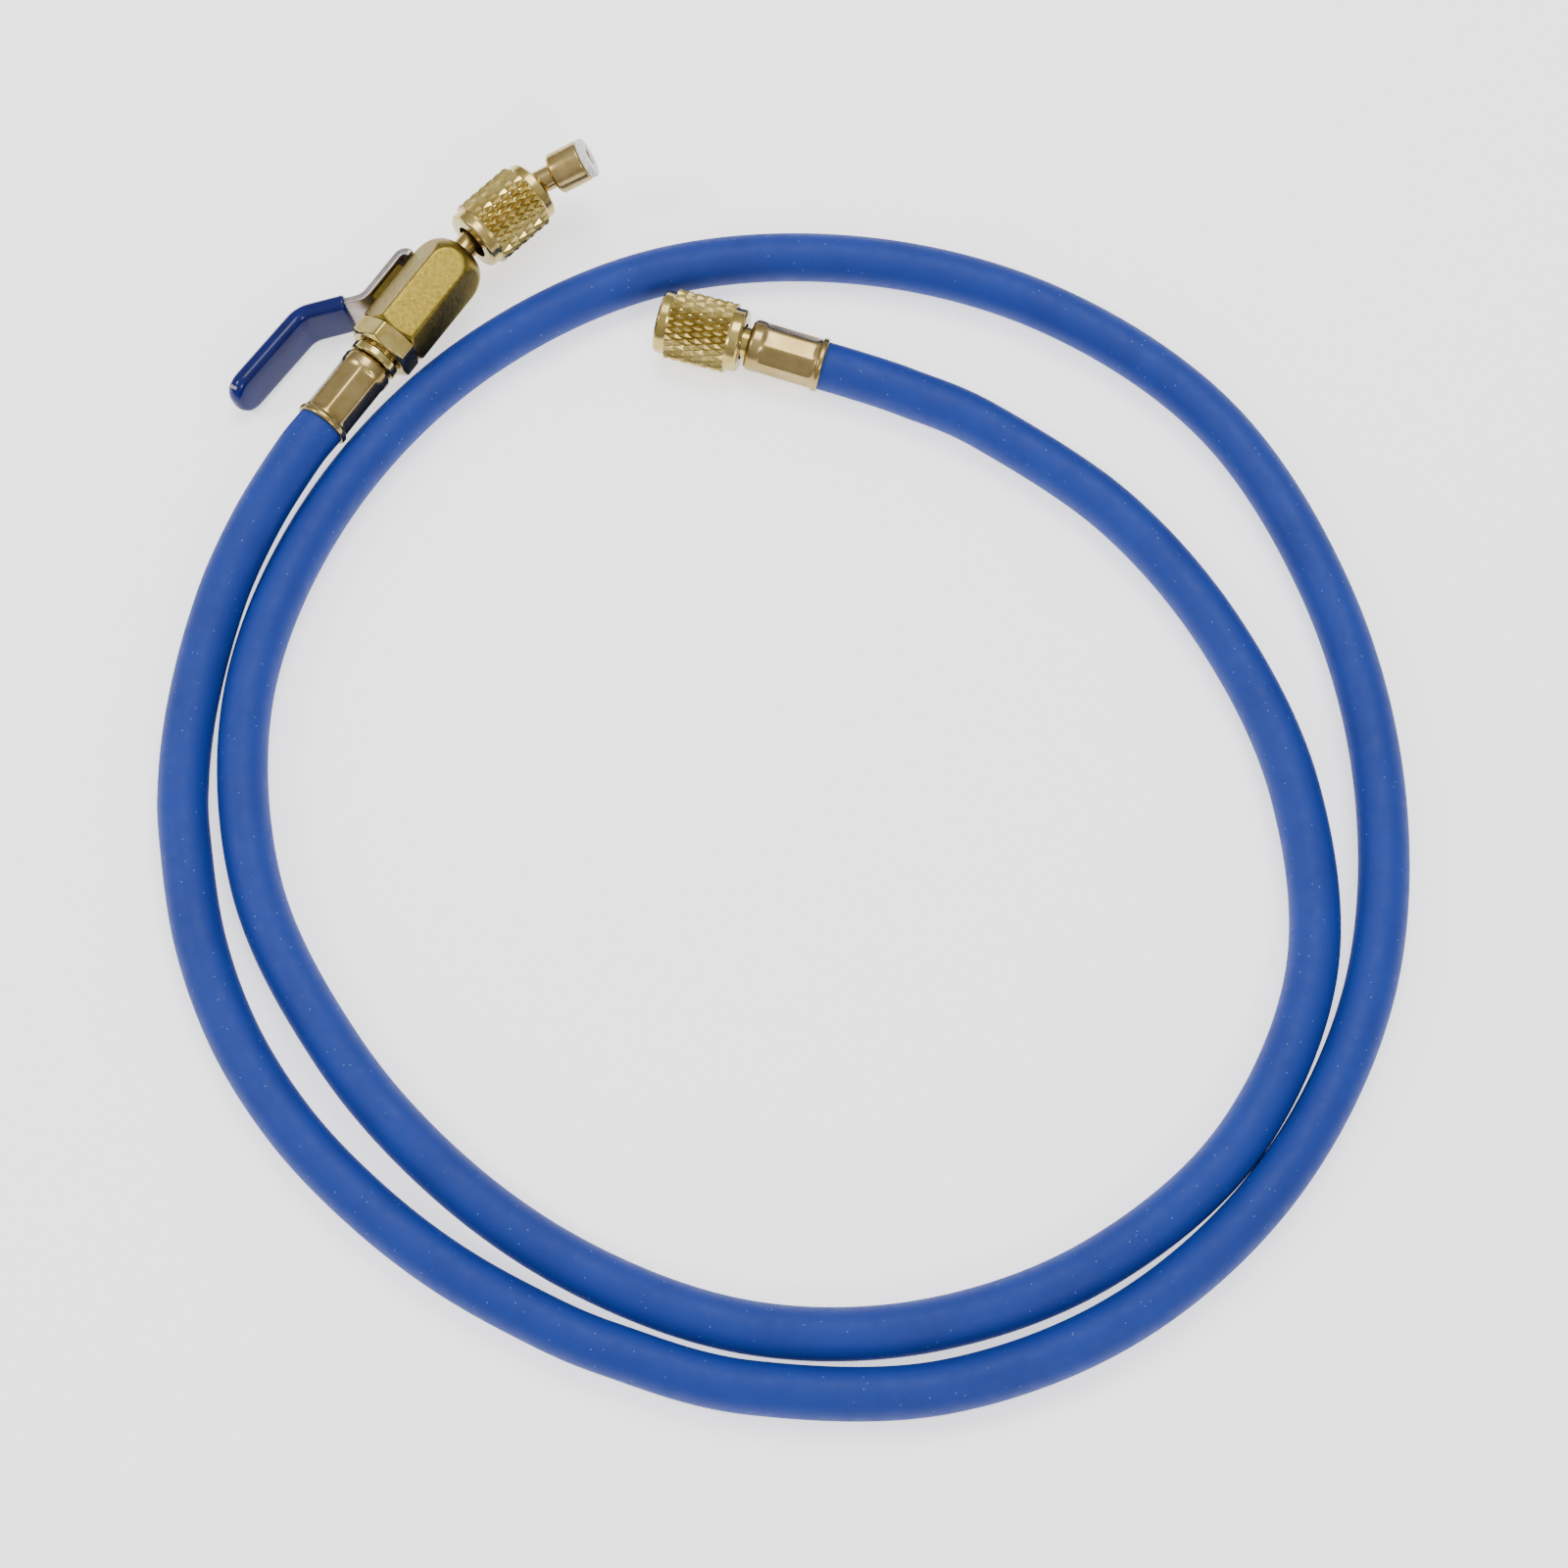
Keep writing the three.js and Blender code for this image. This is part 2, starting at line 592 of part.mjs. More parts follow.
function nipple() {
  const headEnd = nippleHeadStart + nippleHeadLength;
  return turned([
    [barbStart, boreDiameter / 2], [barbStart, barbDiameter / 2], [nippleCollar, barbDiameter / 2],
    [nippleCollar, nippleDiameter / 2], [nippleHeadStart, nippleDiameter / 2],
    [nippleHeadStart + nippleHeadChamfer, nippleHeadDiameter / 2], [headEnd, nippleHeadDiameter / 2],
    [headEnd, nutSealSeatDiameter / 2], [headEnd - nutSealSeatDepth, nutSealSeatDiameter / 2],
    [headEnd - nutSealSeatDepth, boreDiameter / 2],
  ]);
}

function nutSeal() {
  const low = nippleHeadStart + nippleHeadLength - nutSealSeatDepth + gap;
  return ring(nutSealSeatDiameter - 2 * gap, sealBore, low, low + nutSealThickness);
}

const straightEnd = new THREE.Group();
straightEnd.add(
  piece("ferrule_straight_end", ferrule(ferruleLengthStraight), paleBrass),
  piece("nipple", nipple(), brass),
  piece("nut_seal", nutSeal(), whiteSeal),
);

// Laying the ends down
function lay(group, heading, rise, roll) {
  const axis = new THREE.Vector3(
    Math.cos(radians(rise)) * Math.cos(radians(heading)),
    Math.cos(radians(rise)) * Math.sin(radians(heading)),
    Math.sin(radians(rise)),
  );
  const left = new THREE.Vector3(-Math.sin(radians(heading)), Math.cos(radians(heading)), 0);
  const above = axis.clone().cross(left);
  const x = left.clone().multiplyScalar(Math.cos(radians(roll))).addScaledVector(above, -Math.sin(radians(roll)));
  const y = axis.clone().cross(x);
  group.quaternion.setFromRotationMatrix(new THREE.Matrix4().makeBasis(x, y, axis));
  group.updateMatrixWorld(true);
  return axis;
}

const valveAxis = lay(valveEnd, valveHeading, valveRise, valveRoll);
valveEnd.position.set(...valvePlace, -new THREE.Box3().setFromObject(valveEnd, true).min.z);

// The straight end rests on its ferrule's rim and on its nut, which lies level and loose on the nipple.
const straightRise = THREE.MathUtils.radToDeg(
  Math.asin((nutDiameter - ferruleRimDiameter) / 2 / (straightNutBack + nutWall / 2)));
const straightAxis = lay(straightEnd, straightHeading, straightRise, 0);
const onNipple = straightAxis.clone().multiplyScalar(straightNutBack + nutWall / 2);
straightEnd.position.set(...straightPlace, nutDiameter / 2 - onNipple.z);

const straightNut = new THREE.Group();
const nutAxis = lay(straightNut, straightHeading + straightNutTurn, 0, 0);
straightNut.position.copy(straightEnd.position).add(onNipple).addScaledVector(nutAxis, -nutWall / 2);
straightNut.add(piece("knurled_nut_straight_end", nut(), brass));

// Hose: one smooth line from face to face, straight out of each ferrule
const hoseHeight = hoseDiameter / 2 + hoseFloorGap;
const hoseLine = new THREE.CatmullRomCurve3([
  valveEnd.position.clone().addScaledVector(valveAxis, -gap),
  valveEnd.position.clone().addScaledVector(valveAxis, -gap - hoseStraight),
  ...routePoints.map(([x, y, z]) => new THREE.Vector3(x, y, z ?? hoseHeight)),
  straightEnd.position.clone().addScaledVector(straightAxis, -gap - hoseStraight),
  straightEnd.position.clone().addScaledVector(straightAxis, -gap),
], false, "catmullrom", 0.5);
const hose = piece("hose", tubeAlong(hoseLine, hoseDiameter, hoseSteps, hoseSides), blueRubber);

// The part's origin: on the floor, below the middle of the box around the two ends
const laid = new THREE.Group();
laid.add(valveEnd, straightEnd, straightNut);
laid.updateMatrixWorld(true);
const endsBox = new THREE.Box3().setFromObject(laid, true);
const middle = endsBox.getCenter(new THREE.Vector3());
laid.add(hose);
laid.position.set(-middle.x, -middle.y, 0);

const chargingHose = new THREE.Group();
chargingHose.add(laid);

export default chargingHose;
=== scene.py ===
"""Refrigerant charging hose: a blue rubber hose in a loose coil, with a quarter-turn ball valve and a bent
neck at one end, and a straight end at the other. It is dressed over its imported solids.

Sizes in the classes are in millimetres, in each end's own frame (+Z from the hose outwards, +X the stem's
side). The meshes are written in metres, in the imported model's frame.
"""

import logging
import math
from collections.abc import Callable
from dataclasses import dataclass, field
from enum import Enum

import bmesh
import bpy
import numpy as np
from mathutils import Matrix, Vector


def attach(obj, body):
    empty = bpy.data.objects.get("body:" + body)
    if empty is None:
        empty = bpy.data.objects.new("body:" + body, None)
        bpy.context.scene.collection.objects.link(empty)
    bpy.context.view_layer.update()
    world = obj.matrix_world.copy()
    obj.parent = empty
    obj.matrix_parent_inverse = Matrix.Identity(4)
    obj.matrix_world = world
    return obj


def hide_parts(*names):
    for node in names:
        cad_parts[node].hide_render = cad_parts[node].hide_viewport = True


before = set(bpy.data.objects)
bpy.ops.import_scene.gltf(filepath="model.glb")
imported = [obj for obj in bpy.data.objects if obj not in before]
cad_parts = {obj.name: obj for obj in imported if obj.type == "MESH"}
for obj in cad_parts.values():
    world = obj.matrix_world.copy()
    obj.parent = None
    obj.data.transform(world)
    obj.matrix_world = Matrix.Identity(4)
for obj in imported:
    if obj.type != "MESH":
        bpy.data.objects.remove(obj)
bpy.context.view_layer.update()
LOG = logging.getLogger("charging_hose")

METRES_PER_MM = 0.001
SHIFT = (57.4917, -115.2393, 0.0)  # from the frame in which the ends were laid down to the model's frame
UP = Vector((0.0, 0.0, 1.0))

Outline = list[tuple[float, float]]
RadiusRule = Callable[[float, float, float], float]
Span = tuple[float, float]
Tree = bpy.types.NodeTree
Socket = bpy.types.NodeSocket

NOISE_ROUGHNESS = 0.55
GLOSS_BAND = (0.3, 0.7)  # the part of a noise that the gloss is spread over
WHOLE = (0.0, 1.0)
MERGE_DISTANCE = 2e-6  # points closer than this become one, in metres
SLIVER = 1e-7  # edges shorter than this are dissolved


class Body(Enum):
    """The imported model's moving bodies."""

    FITTINGS = "hose_and_fittings"
    LEVER = "valve_lever"
    NECK_NUT = "valve_end_nut"
    STRAIGHT_NUT = "straight_end_nut"


class Slot(Enum):
    """The record's material slots."""

    RUBBER = "blue_rubber"
    FERRULE = "ferrule_brass"
    BRASS = "brass"
    STEEL = "plated_steel"
    VINYL = "blue_vinyl"
    SEAL = "white_seal"


def add_node(tree: Tree, kind: str, inputs: dict | None = None, **settings: object) -> bpy.types.Node:
    """Adds a node with its settings, values and links.

    Args:
        tree: the node tree that it goes into.
        kind: the node's type, such as "ShaderNodeBump".
        inputs: a socket's name or number, and the value or the other node's output that goes into it.
        settings: the node's own properties by name.

    Returns:
        The new node.
    """
    node = tree.nodes.new(kind)
    for name, value in settings.items():
        setattr(node, name, value)
    for key, value in (inputs or {}).items():
        if isinstance(value, bpy.types.NodeSocket):
            tree.links.new(value, node.inputs[key])
        else:
            node.inputs[key].default_value = value
    return node


def linear(colour: str) -> tuple[float, float, float, float]:
    """Turns an sRGB hex colour into linear light.

    Args:
        colour: six hex digits after a hash.

    Returns:
        Red, green, blue and an alpha of 1.
    """
    parts = [int(colour[i : i + 2], 16) / 255 for i in (1, 3, 5)]
    return (*[c / 12.92 if c <= 0.04045 else ((c + 0.055) / 1.055) ** 2.4 for c in parts], 1.0)


@dataclass(frozen=True)
class Finish:
    """What every finish has: its name, its main colour, a second colour that it drifts to, and its gloss."""

    name: str
    colour: str
    drift: str
    roughness: float
    metallic: float = 0.0
    ior: float = 1.5

    def start(self) -> tuple[bpy.types.Material, Tree, bpy.types.Node]:
        """Makes the material with its shader.

        Returns:
            The material, its node tree and the shader node.
        """
        material = bpy.data.materials.new(self.name)
        material.use_nodes = True
        material.diffuse_color = linear(self.colour)
        tree = material.node_tree
        shader = tree.nodes["Principled BSDF"]
        shader.inputs["Metallic"].default_value = self.metallic
        shader.inputs["Roughness"].default_value = self.roughness
        if not self.metallic:
            shader.inputs["IOR"].default_value = self.ior
        return material, tree, shader

    def mottle(self, tree: Tree, size_mm: float, detail: float = 4.0) -> Socket:
        """Adds a noise pattern of a real size, on the piece's own coordinates.

        Args:
            tree: the material's tree.
            size_mm: how wide one patch is.
            detail: how many finer layers it has.

        Returns:
            The pattern's value output.
        """
        place = add_node(tree, "ShaderNodeTexCoord").outputs["Object"]
        inputs = {"Vector": place, "Scale": 1000 / size_mm, "Detail": detail, "Roughness": NOISE_ROUGHNESS}
        return add_node(tree, "ShaderNodeTexNoise", inputs).outputs["Fac"]

    def spread(self, tree: Tree, value: Socket, band: Span, to: Span) -> Socket:
        """Stretches a part of a pattern over a new range.

        Args:
            tree: the material's tree.
            value: the pattern.
            band: the pattern's values that become the range's start and end.
            to: the new range.

        Returns:
            The stretched value.
        """
        inputs = {"Value": value, "From Min": band[0], "From Max": band[1], "To Min": to[0], "To Max": to[1]}
        return add_node(tree, "ShaderNodeMapRange", inputs).outputs["Result"]

    def blend_colours(self, tree: Tree, share: Socket, first: object, second: object) -> Socket:
        """Mixes two colours by a pattern.

        Args:
            tree: the material's tree.
            share: the pattern, 0 for the first colour and 1 for the second.
            first: a linear colour or a colour output.
            second: the same.

        Returns:
            The mixed colour.
        """
        return add_node(tree, "ShaderNodeMix", {0: share, 6: first, 7: second}, data_type="RGBA").outputs[2]

    def drifting(self, tree: Tree, size_mm: float, detail: float, band: Span) -> Socket:
        """Gives the main colour as it drifts to the second one.

        Args:
            tree: the material's tree.
            size_mm: how wide the patches are.
            detail: how many finer layers they have.
            band: the noise's values at the first and at the second colour.

        Returns:
            The colour.
        """
        share = self.spread(tree, self.mottle(tree, size_mm, detail), band, WHOLE)
        return self.blend_colours(tree, share, linear(self.colour), linear(self.drift))

    def vary_gloss(self, tree: Tree, shader: bpy.types.Node, size_mm: float, to: Span) -> None:
        """Lets the roughness change in patches.

        Args:
            tree: the material's tree.
            shader: its shader node.
            size_mm: how wide the patches are.
            to: the lowest and highest roughness.
        """
        gloss = self.spread(tree, self.mottle(tree, size_mm), GLOSS_BAND, to)
        tree.links.new(gloss, shader.inputs["Roughness"])

    def relief(self, tree: Tree, height: Socket, depth_mm: float, below: Socket | None = None) -> Socket:
        """Adds a bump of a real depth.

        Args:
            tree: the material's tree.
            height: the pattern, 0 to 1.
            depth_mm: how deep the pattern is.
            below: a normal from another bump, if there is one.

        Returns:
            The bump's normal.
        """
        inputs = {"Height": height, "Distance": depth_mm * METRES_PER_MM, "Strength": 1.0}
        if below is not None:
            inputs["Normal"] = below
        return add_node(tree, "ShaderNodeBump", inputs).outputs["Normal"]


@dataclass(frozen=True)
class RubberCover(Finish):
    """Extruded EPDM hose cover: satin and even, with fine pale specks of chalk and a faint grain."""

    patch: float = 14.0  # width of the patches in its colour
    gloss_patch: float = 3.0
    speck_colour: str = "#5f86c4"
    speck_spacing: float = 2.2
    speck_size: float = 0.2
    speck_strength: float = 0.75
    grain: float = 0.35
    grain_depth: float = 0.012

    def build(self) -> bpy.types.Material:
        """Returns the finished material."""
        material, tree, shader = self.start()
        colour = self.drifting(tree, self.patch, 4.0, (0.35, 0.65))
        place = add_node(tree, "ShaderNodeTexCoord").outputs["Object"]
        cells = add_node(tree, "ShaderNodeTexVoronoi", {"Vector": place, "Scale": 1000 / self.speck_spacing})
        edge = self.speck_size / self.speck_spacing
        speck = self.spread(tree, cells.outputs["Distance"], (edge, edge * 0.4), (0.0, self.speck_strength))
        specked = self.blend_colours(tree, speck, colour, linear(self.speck_colour))
        tree.links.new(specked, shader.inputs["Base Color"])
        self.vary_gloss(tree, shader, self.gloss_patch, (self.roughness - 0.05, self.roughness + 0.06))
        grain = self.relief(tree, self.mottle(tree, self.grain, 2.0), self.grain_depth)
        tree.links.new(grain, shader.inputs["Normal"])
        return material


@dataclass(frozen=True)
class Metal(Finish):
    """A metal that was turned, drawn or plated: a drifting colour, turning marks round it and small pits."""

    metallic: float = 1.0
    patch: float = 2.5  # width of the patches in its colour
    mark_spacing: float = 0.22  # only used where mark_depth isn't zero
    mark_depth: float = 0.0
    pit: float = 0.5
    pit_depth: float = 0.004
    tarnish: str = "#5b4a26"
    tarnish_share: float = 0.25

    def build(self) -> bpy.types.Material:
        """Returns the finished material."""
        material, tree, shader = self.start()
        colour = self.drifting(tree, self.patch, 6.0, (0.38, 0.62))
        blots = self.mottle(tree, self.patch * 2.7, 8.0)
        stain = self.spread(tree, blots, (0.58, 0.74), (0.0, self.tarnish_share))
        stained = self.blend_colours(tree, stain, colour, linear(self.tarnish))
        tree.links.new(stained, shader.inputs["Base Color"])
        self.vary_gloss(tree, shader, self.patch * 0.6, (self.roughness * 0.8, self.roughness * 1.3))
        normal = self.relief(tree, self.mottle(tree, self.pit, 3.0), self.pit_depth)
        if self.mark_depth:
            surface = add_node(tree, "ShaderNodeUVMap").outputs["UV"]
            along = add_node(tree, "ShaderNodeSeparateXYZ", {0: surface}).outputs["Y"]
            line = add_node(tree, "ShaderNodeCombineXYZ", {"X": along}).outputs[0]
            inputs = {"Vector": line, "Scale": 1 / self.mark_spacing, "Detail": 3.0}
            marks = add_node(tree, "ShaderNodeTexNoise", inputs).outputs["Fac"]
            normal = self.relief(tree, marks, self.mark_depth, normal)
        tree.links.new(normal, shader.inputs["Normal"])
        return material


@dataclass(frozen=True)
class DippedVinyl(Finish):
    """PVC that the lever was dipped into: wet gloss over a deep colour, with slow waves in the skin."""

    patch: float = 6.0
    gloss_patch: float = 1.5
    wave: float = 4.0
    wave_depth: float = 0.02

    def build(self) -> bpy.types.Material:
        """Returns the finished material."""
        material, tree, shader = self.start()
        tree.links.new(self.drifting(tree, self.patch, 4.0, (0.35, 0.65)), shader.inputs["Base Color"])
        self.vary_gloss(tree, shader, self.gloss_patch, (self.roughness * 0.8, self.roughness * 1.4))
        waves = self.relief(tree, self.mottle(tree, self.wave, 2.0), self.wave_depth)
        tree.links.new(waves, shader.inputs["Normal"])
        return material


@dataclass(frozen=True)
class SealPlastic(Finish):
    """Pressed PTFE ring: dull white with faint grey tool marks."""

    grain: float = 0.6
    grain_depth: float = 0.01

    def build(self) -> bpy.types.Material:
        """Returns the finished material."""
        material, tree, shader = self.start()
        tree.links.new(self.drifting(tree, self.grain, 5.0, (0.4, 0.62)), shader.inputs["Base Color"])
        grain = self.relief(tree, self.mottle(tree, self.grain, 3.0), self.grain_depth)
        tree.links.new(grain, shader.inputs["Normal"])
        return material


@dataclass
class Finishes:
    """Every finish on the hose, made once and shared by its pieces."""

    rubber: bpy.types.Material = field(init=False)
    crimped: bpy.types.Material = field(init=False)
    machined: bpy.types.Material = field(init=False)
    bar: bpy.types.Material = field(init=False)
    drawn: bpy.types.Material = field(init=False)
    steel: bpy.types.Material = field(init=False)
    vinyl: bpy.types.Material = field(init=False)
    seal: bpy.types.Material = field(init=False)

    def __post_init__(self) -> None:
        """Builds the materials."""
        # EPDM cover, extruded: a satin blue.
        self.rubber = RubberCover("EPDM_cover_extruded_blue", "#062f8a", "#052a80", 0.6, ior=1.42).build()
        # Soft brass shell, drawn and crimped: pale and bright.
        self.crimped = Metal(
            "Brass_shell_crimped", "#a69060", "#97814e", 0.24, patch=5.0, mark_spacing=0.5, mark_depth=0.002,
            pit=1.5, pit_depth=0.002, tarnish_share=0.1,
        ).build()
        # Free-cutting brass, turned: yellow with fine tool rings that stretch its highlights.
        self.machined = Metal(
            "Brass_turned", "#bfab6c", "#ab9754", 0.2, patch=3.0, mark_depth=0.003,
            pit=1.0, pit_depth=0.002, tarnish_share=0.15,
        ).build()
        # Hexagon brass bar, pickled: duller and a little green, with a fine mottle over its flats.
        self.bar = Metal(
            "Brass_bar_pickled", "#83722f", "#746326", 0.33, patch=0.9, pit=0.45, tarnish_share=0.3
        ).build()
        # Drawn brass tube: pale and smooth.
        self.drawn = Metal(
            "Brass_tube_drawn", "#b39d69", "#a38b55", 0.22, patch=4.0, pit=1.5, pit_depth=0.002,
            tarnish_share=0.1,
        ).build()
        # Zinc-plated strip steel: grey with a faint warm tinge.
        self.steel = Metal(
            "Steel_strip_zinc_plated", "#b9b0ad", "#a69d9b", 0.34, patch=2.0, tarnish="#5d5654"
        ).build()
        # Dipped PVC grip: almost black in the shade and wet where it shines.
        self.vinyl = DippedVinyl("PVC_dipped_navy", "#081250", "#0a175e", 0.13, ior=1.34).build()
        # PTFE ring.
        self.seal = SealPlastic("PTFE_pressed_white", "#eeece6", "#c9c6bd", 0.45, ior=1.38).build()


@dataclass(frozen=True)
class EndFrame:
    """Where one end's own frame lies in the model: a point on its axis, and its axes."""

    origin: Vector
    x: Vector
    y: Vector
    z: Vector

    @classmethod
    def laid(cls, place: tuple[float, float, float], heading: float, rise: float, roll: float) -> "EndFrame":
        """Lays a frame down as the part's source does.

        Args:
            place: its origin, in millimetres, before the shift to the model's frame.
            heading: its +Z axis's direction on the floor, in degrees.
            rise: how far that axis points up.
            roll: how far +X points below the horizontal.

        Returns:
            The frame.
        """
        turn, lift, lean = (math.radians(a) for a in (heading, rise, roll))
        axis = Vector((math.cos(lift) * math.cos(turn), math.cos(lift) * math.sin(turn), math.sin(lift)))
        left = Vector((-math.sin(turn), math.cos(turn), 0.0))
        above = axis.cross(left)
        x = left * math.cos(lean) - above * math.sin(lean)
        return cls(Vector(place) + Vector(SHIFT), x, axis.cross(x), axis)

    def point(self, x: float, y: float, z: float) -> Vector:
        """Returns a point of this frame in the model's frame, in millimetres."""
        return self.origin + self.x * x + self.y * y + self.z * z

    def direction(self, v: Vector) -> Vector:
        """Returns a direction of this frame in the model's frame."""
        return self.x * v.x + self.y * v.y + self.z * v.z

    def along(self, start: Vector, axis: Vector) -> "EndFrame":
        """Makes a frame inside this one whose +Z points along an axis.

        Args:
            start: its origin, in this frame.
            axis: its +Z direction, in this frame.

        Returns:
            The inner frame.
        """
        turn = UP.rotation_difference(axis)
        x, y, z = (self.direction(turn @ Vector(v)) for v in ((1, 0, 0), (0, 1, 0), (0, 0, 1)))
        return EndFrame(self.point(*start), x, y, z)

    def matrix(self) -> np.ndarray:
        """Returns the 3 by 3 matrix whose columns are the axes."""
        return np.array([self.x, self.y, self.z]).T


def eased(outline: Outline, radius: float, steps: int = 3, longest: float = 2.0) -> Outline:
    """Rounds the corners of a turned outline and divides its long stretches.

    Args:
        outline: (z, radius) pairs.
        radius: the rounding, in millimetres; a short neighbour gets less.
        steps: how many stretches each rounded corner has.
        longest: the longest stretch that is left, in millimetres.

    Returns:
        The finer outline.
    """
    points = [np.array(p, float) for p in outline]
    line = [points[0]]
    for before, at, after in zip(points, points[1:], points[2:]):
        back, on = before - at, after - at
        reach = min(radius, 0.45 * np.linalg.norm(back), 0.45 * np.linalg.norm(on))
        first, last = at + back / np.linalg.norm(back) * reach, at + on / np.linalg.norm(on) * reach
        for i in range(steps + 1):
            t = i / steps
            line.append((1 - t) ** 2 * first + 2 * t * (1 - t) * at + t * t * last)
    line.append(points[-1])
    finer = [line[0]]
    for last, point in zip(line, line[1:]):
        parts = max(1, math.ceil(np.linalg.norm(point - last) / longest))
        finer.extend(last + (point - last) * (i + 1) / parts for i in range(parts))
    return [(float(z), float(r)) for z, r in finer]


@dataclass(frozen=True)
class BarSection:
    """A regular bar that a round form is cut or pressed to, with slightly rounded corners."""

    flats: float
    sides: int
    low: float
    high: float
    turn: float = 0.0
    fade: float = 0.0
    sharpness: float = 90.0
    blend: float = 0.08

    def radius(self, z: float, radius: float, angle: float) -> float:
        """Gives the form's radius where the bar and the round form meet.

        Args:
            z: the height along the axis.
            radius: the round form's radius there.
            angle: the angle about the axis.

        Returns:
            The smaller of both radii, eased where they cross.
        """
        if not self.low <= z <= self.high or radius < self.flats * 0.4:
            return radius
        step = 2 * math.pi / self.sides
        off = (angle - math.radians(self.turn) + step / 2) % step - step / 2
        near = [max(0.0, math.cos(off + k * step)) ** self.sharpness for k in (-1, 0, 1)]
        bar = self.flats / 2 * sum(near) ** (-1 / self.sharpness)
        both = -self.blend * math.log(math.exp(-(radius - bar) / self.blend) + 1) + bar
        both = both if radius - bar > -20 * self.blend else radius
        if self.fade:
            share = min(1.0, (z - self.low) / self.fade, (self.high - z) / self.fade)
            share = share * share * (3 - 2 * share)
            return radius + (both - radius) * share
        return both

    def angles(self, per_side: int) -> list[float]:
        """Gives angles that crowd towards the bar's corners.

        Args:
            per_side: how many each flat gets.

        Returns:
            The angles, once round.
        """
        step = 2 * math.pi / self.sides
        found = []
        for side in range(self.sides):
            for i in range(per_side):
                t = 2 * i / per_side - 1
                off = math.copysign(1 - (1 - abs(t)) ** 1.7, t) * step / 2
                found.append(math.radians(self.turn) + side * step + off)
        return found


class MeshDraft:
    """Faces collected in millimetres in one end's frame, and written as one closed mesh in metres."""

    def __init__(self, place: EndFrame) -> None:
        """Starts an empty draft in a frame."""
        self.place = place
        self.points: list[np.ndarray] = []
        self.faces: list[list[int]] = []
        self.maps: list[list[tuple[float, float]]] = []
        self.count = 0

    def add_points(self, points: np.ndarray) -> int:
        """Adds points of the draft's frame and returns the number of the first."""
        first = self.count
        self.points.append(points @ self.place.matrix().T + np.array(self.place.origin))
        self.count += len(points)
        return first

    def add_rings(
        self, rings: np.ndarray, heights: list[float], around: list[float], capped: bool = False
    ) -> None:
        """Adds closed rings of points, each joined to the next.

        Args:
            rings: an array of rings, points and coordinates.
            heights: each ring's distance along the piece, in millimetres, for the surface map.
            around: each point's distance round the piece, with the full round at the end.
            capped: whether the first and last rings are closed with a face.
        """
        total, each, _ = rings.shape
        first = self.add_points(rings.reshape(-1, 3))
        for i in range(total - 1):
            for j in range(each):
                k = (j + 1) % each
                corners = [(i, j, j), (i, k, j + 1), (i + 1, k, j + 1), (i + 1, j, j)]
                self.faces.append([first + row * each + column for row, column, _ in corners])
                self.maps.append([(around[place], heights[row]) for row, _, place in corners])
        if capped:
            for row in (0, total - 1):
                self.faces.append([first + row * each + j for j in range(each)])
                self.maps.append([(around[j], heights[row]) for j in range(each)])

    def add_turned(self, outline: Outline, angles: list[float], rule: RadiusRule | None = None) -> None:
        """Adds a form turned about the draft's +Z axis.

        Args:
            outline: (z, radius) pairs, closed on itself or ending on the axis.
            angles: the angles of its columns.
            rule: changes the radius from the height, the radius and the angle.
        """
        rings, heights, run = [], [], 0.0
        for i, (z, radius) in enumerate(outline):
            if i:
                run += math.dist((z, radius), outline[i - 1])
            ring = []
            for angle in angles:
                r = rule(z, radius, angle) if rule else radius
                ring.append((r * math.cos(angle), r * math.sin(angle), z))
            rings.append(ring)
            heights.append(run)
        widest = max(radius for _, radius in outline)
        around = [widest * (angle - angles[0]) for angle in angles] + [widest * 2 * math.pi]
        self.add_rings(np.array(rings), heights, around)

    def add_swept(self, line: list[Vector], side: Vector, section: Callable[[float, float], list]) -> None:
        """Adds a section carried along a line that lies in one plane, with its ends closed.

        Args:
            line: the points of the section's middle.
            side: the direction across that plane.
            section: gives the section's (across, through) points from the distance run and the distance left.
        """
        steps = [(b - a).length for a, b in zip(line, line[1:])]
        total, run, rings, heights = sum(steps), 0.0, [], []
        for i, point in enumerate(line):
            run += steps[i - 1] if i else 0.0
            along = (line[min(i + 1, len(line) - 1)] - line[max(i - 1, 0)]).normalized()
            through = side.cross(along)
            rings.append([tuple(point + side * a + through * b) for a, b in section(run, total - run)])
            heights.append(run)
        ring = np.array(rings[len(rings) // 2])
        lengths = np.linalg.norm(np.roll(ring, -1, axis=0) - ring, axis=1)
        around = [0.0, *np.cumsum(lengths).tolist()]
        self.add_rings(np.array(rings), heights, around, capped=True)

    def finish(self, name: str, smooth_below: float = 35.0) -> bpy.types.Object:
        """Writes the draft as an object in the scene.

        Args:
            name: the object's name.
            smooth_below: edges that turn less than this many degrees are shaded smooth.

        Returns:
            The object, at the model's origin.
        """
        mesh = bpy.data.meshes.new(name)
        places = np.concatenate(self.points) * METRES_PER_MM
        mesh.from_pydata(places.tolist(), [], self.faces)
        layer = mesh.uv_layers.new(name="UVMap")
        layer.data.foreach_set("uv", np.array([c for face in self.maps for c in face], np.float32).ravel())
        return closed_object(mesh, name, smooth_below)


def leaning(lean: float, turn: float) -> Vector:
    """Gives the +Z direction after a lean towards an angle about it, both in degrees."""
    tilt, way = math.radians(lean), math.radians(turn)
    return Vector((math.sin(tilt) * math.cos(way), math.sin(tilt) * math.sin(way), math.cos(tilt)))


def put_in_scene(name: str, data: bpy.types.ID) -> bpy.types.Object:
    """Makes an object of a mesh, a light or a camera and links it into the scene."""
    made = bpy.data.objects.new(name, data)
    bpy.context.scene.collection.objects.link(made)
    return made


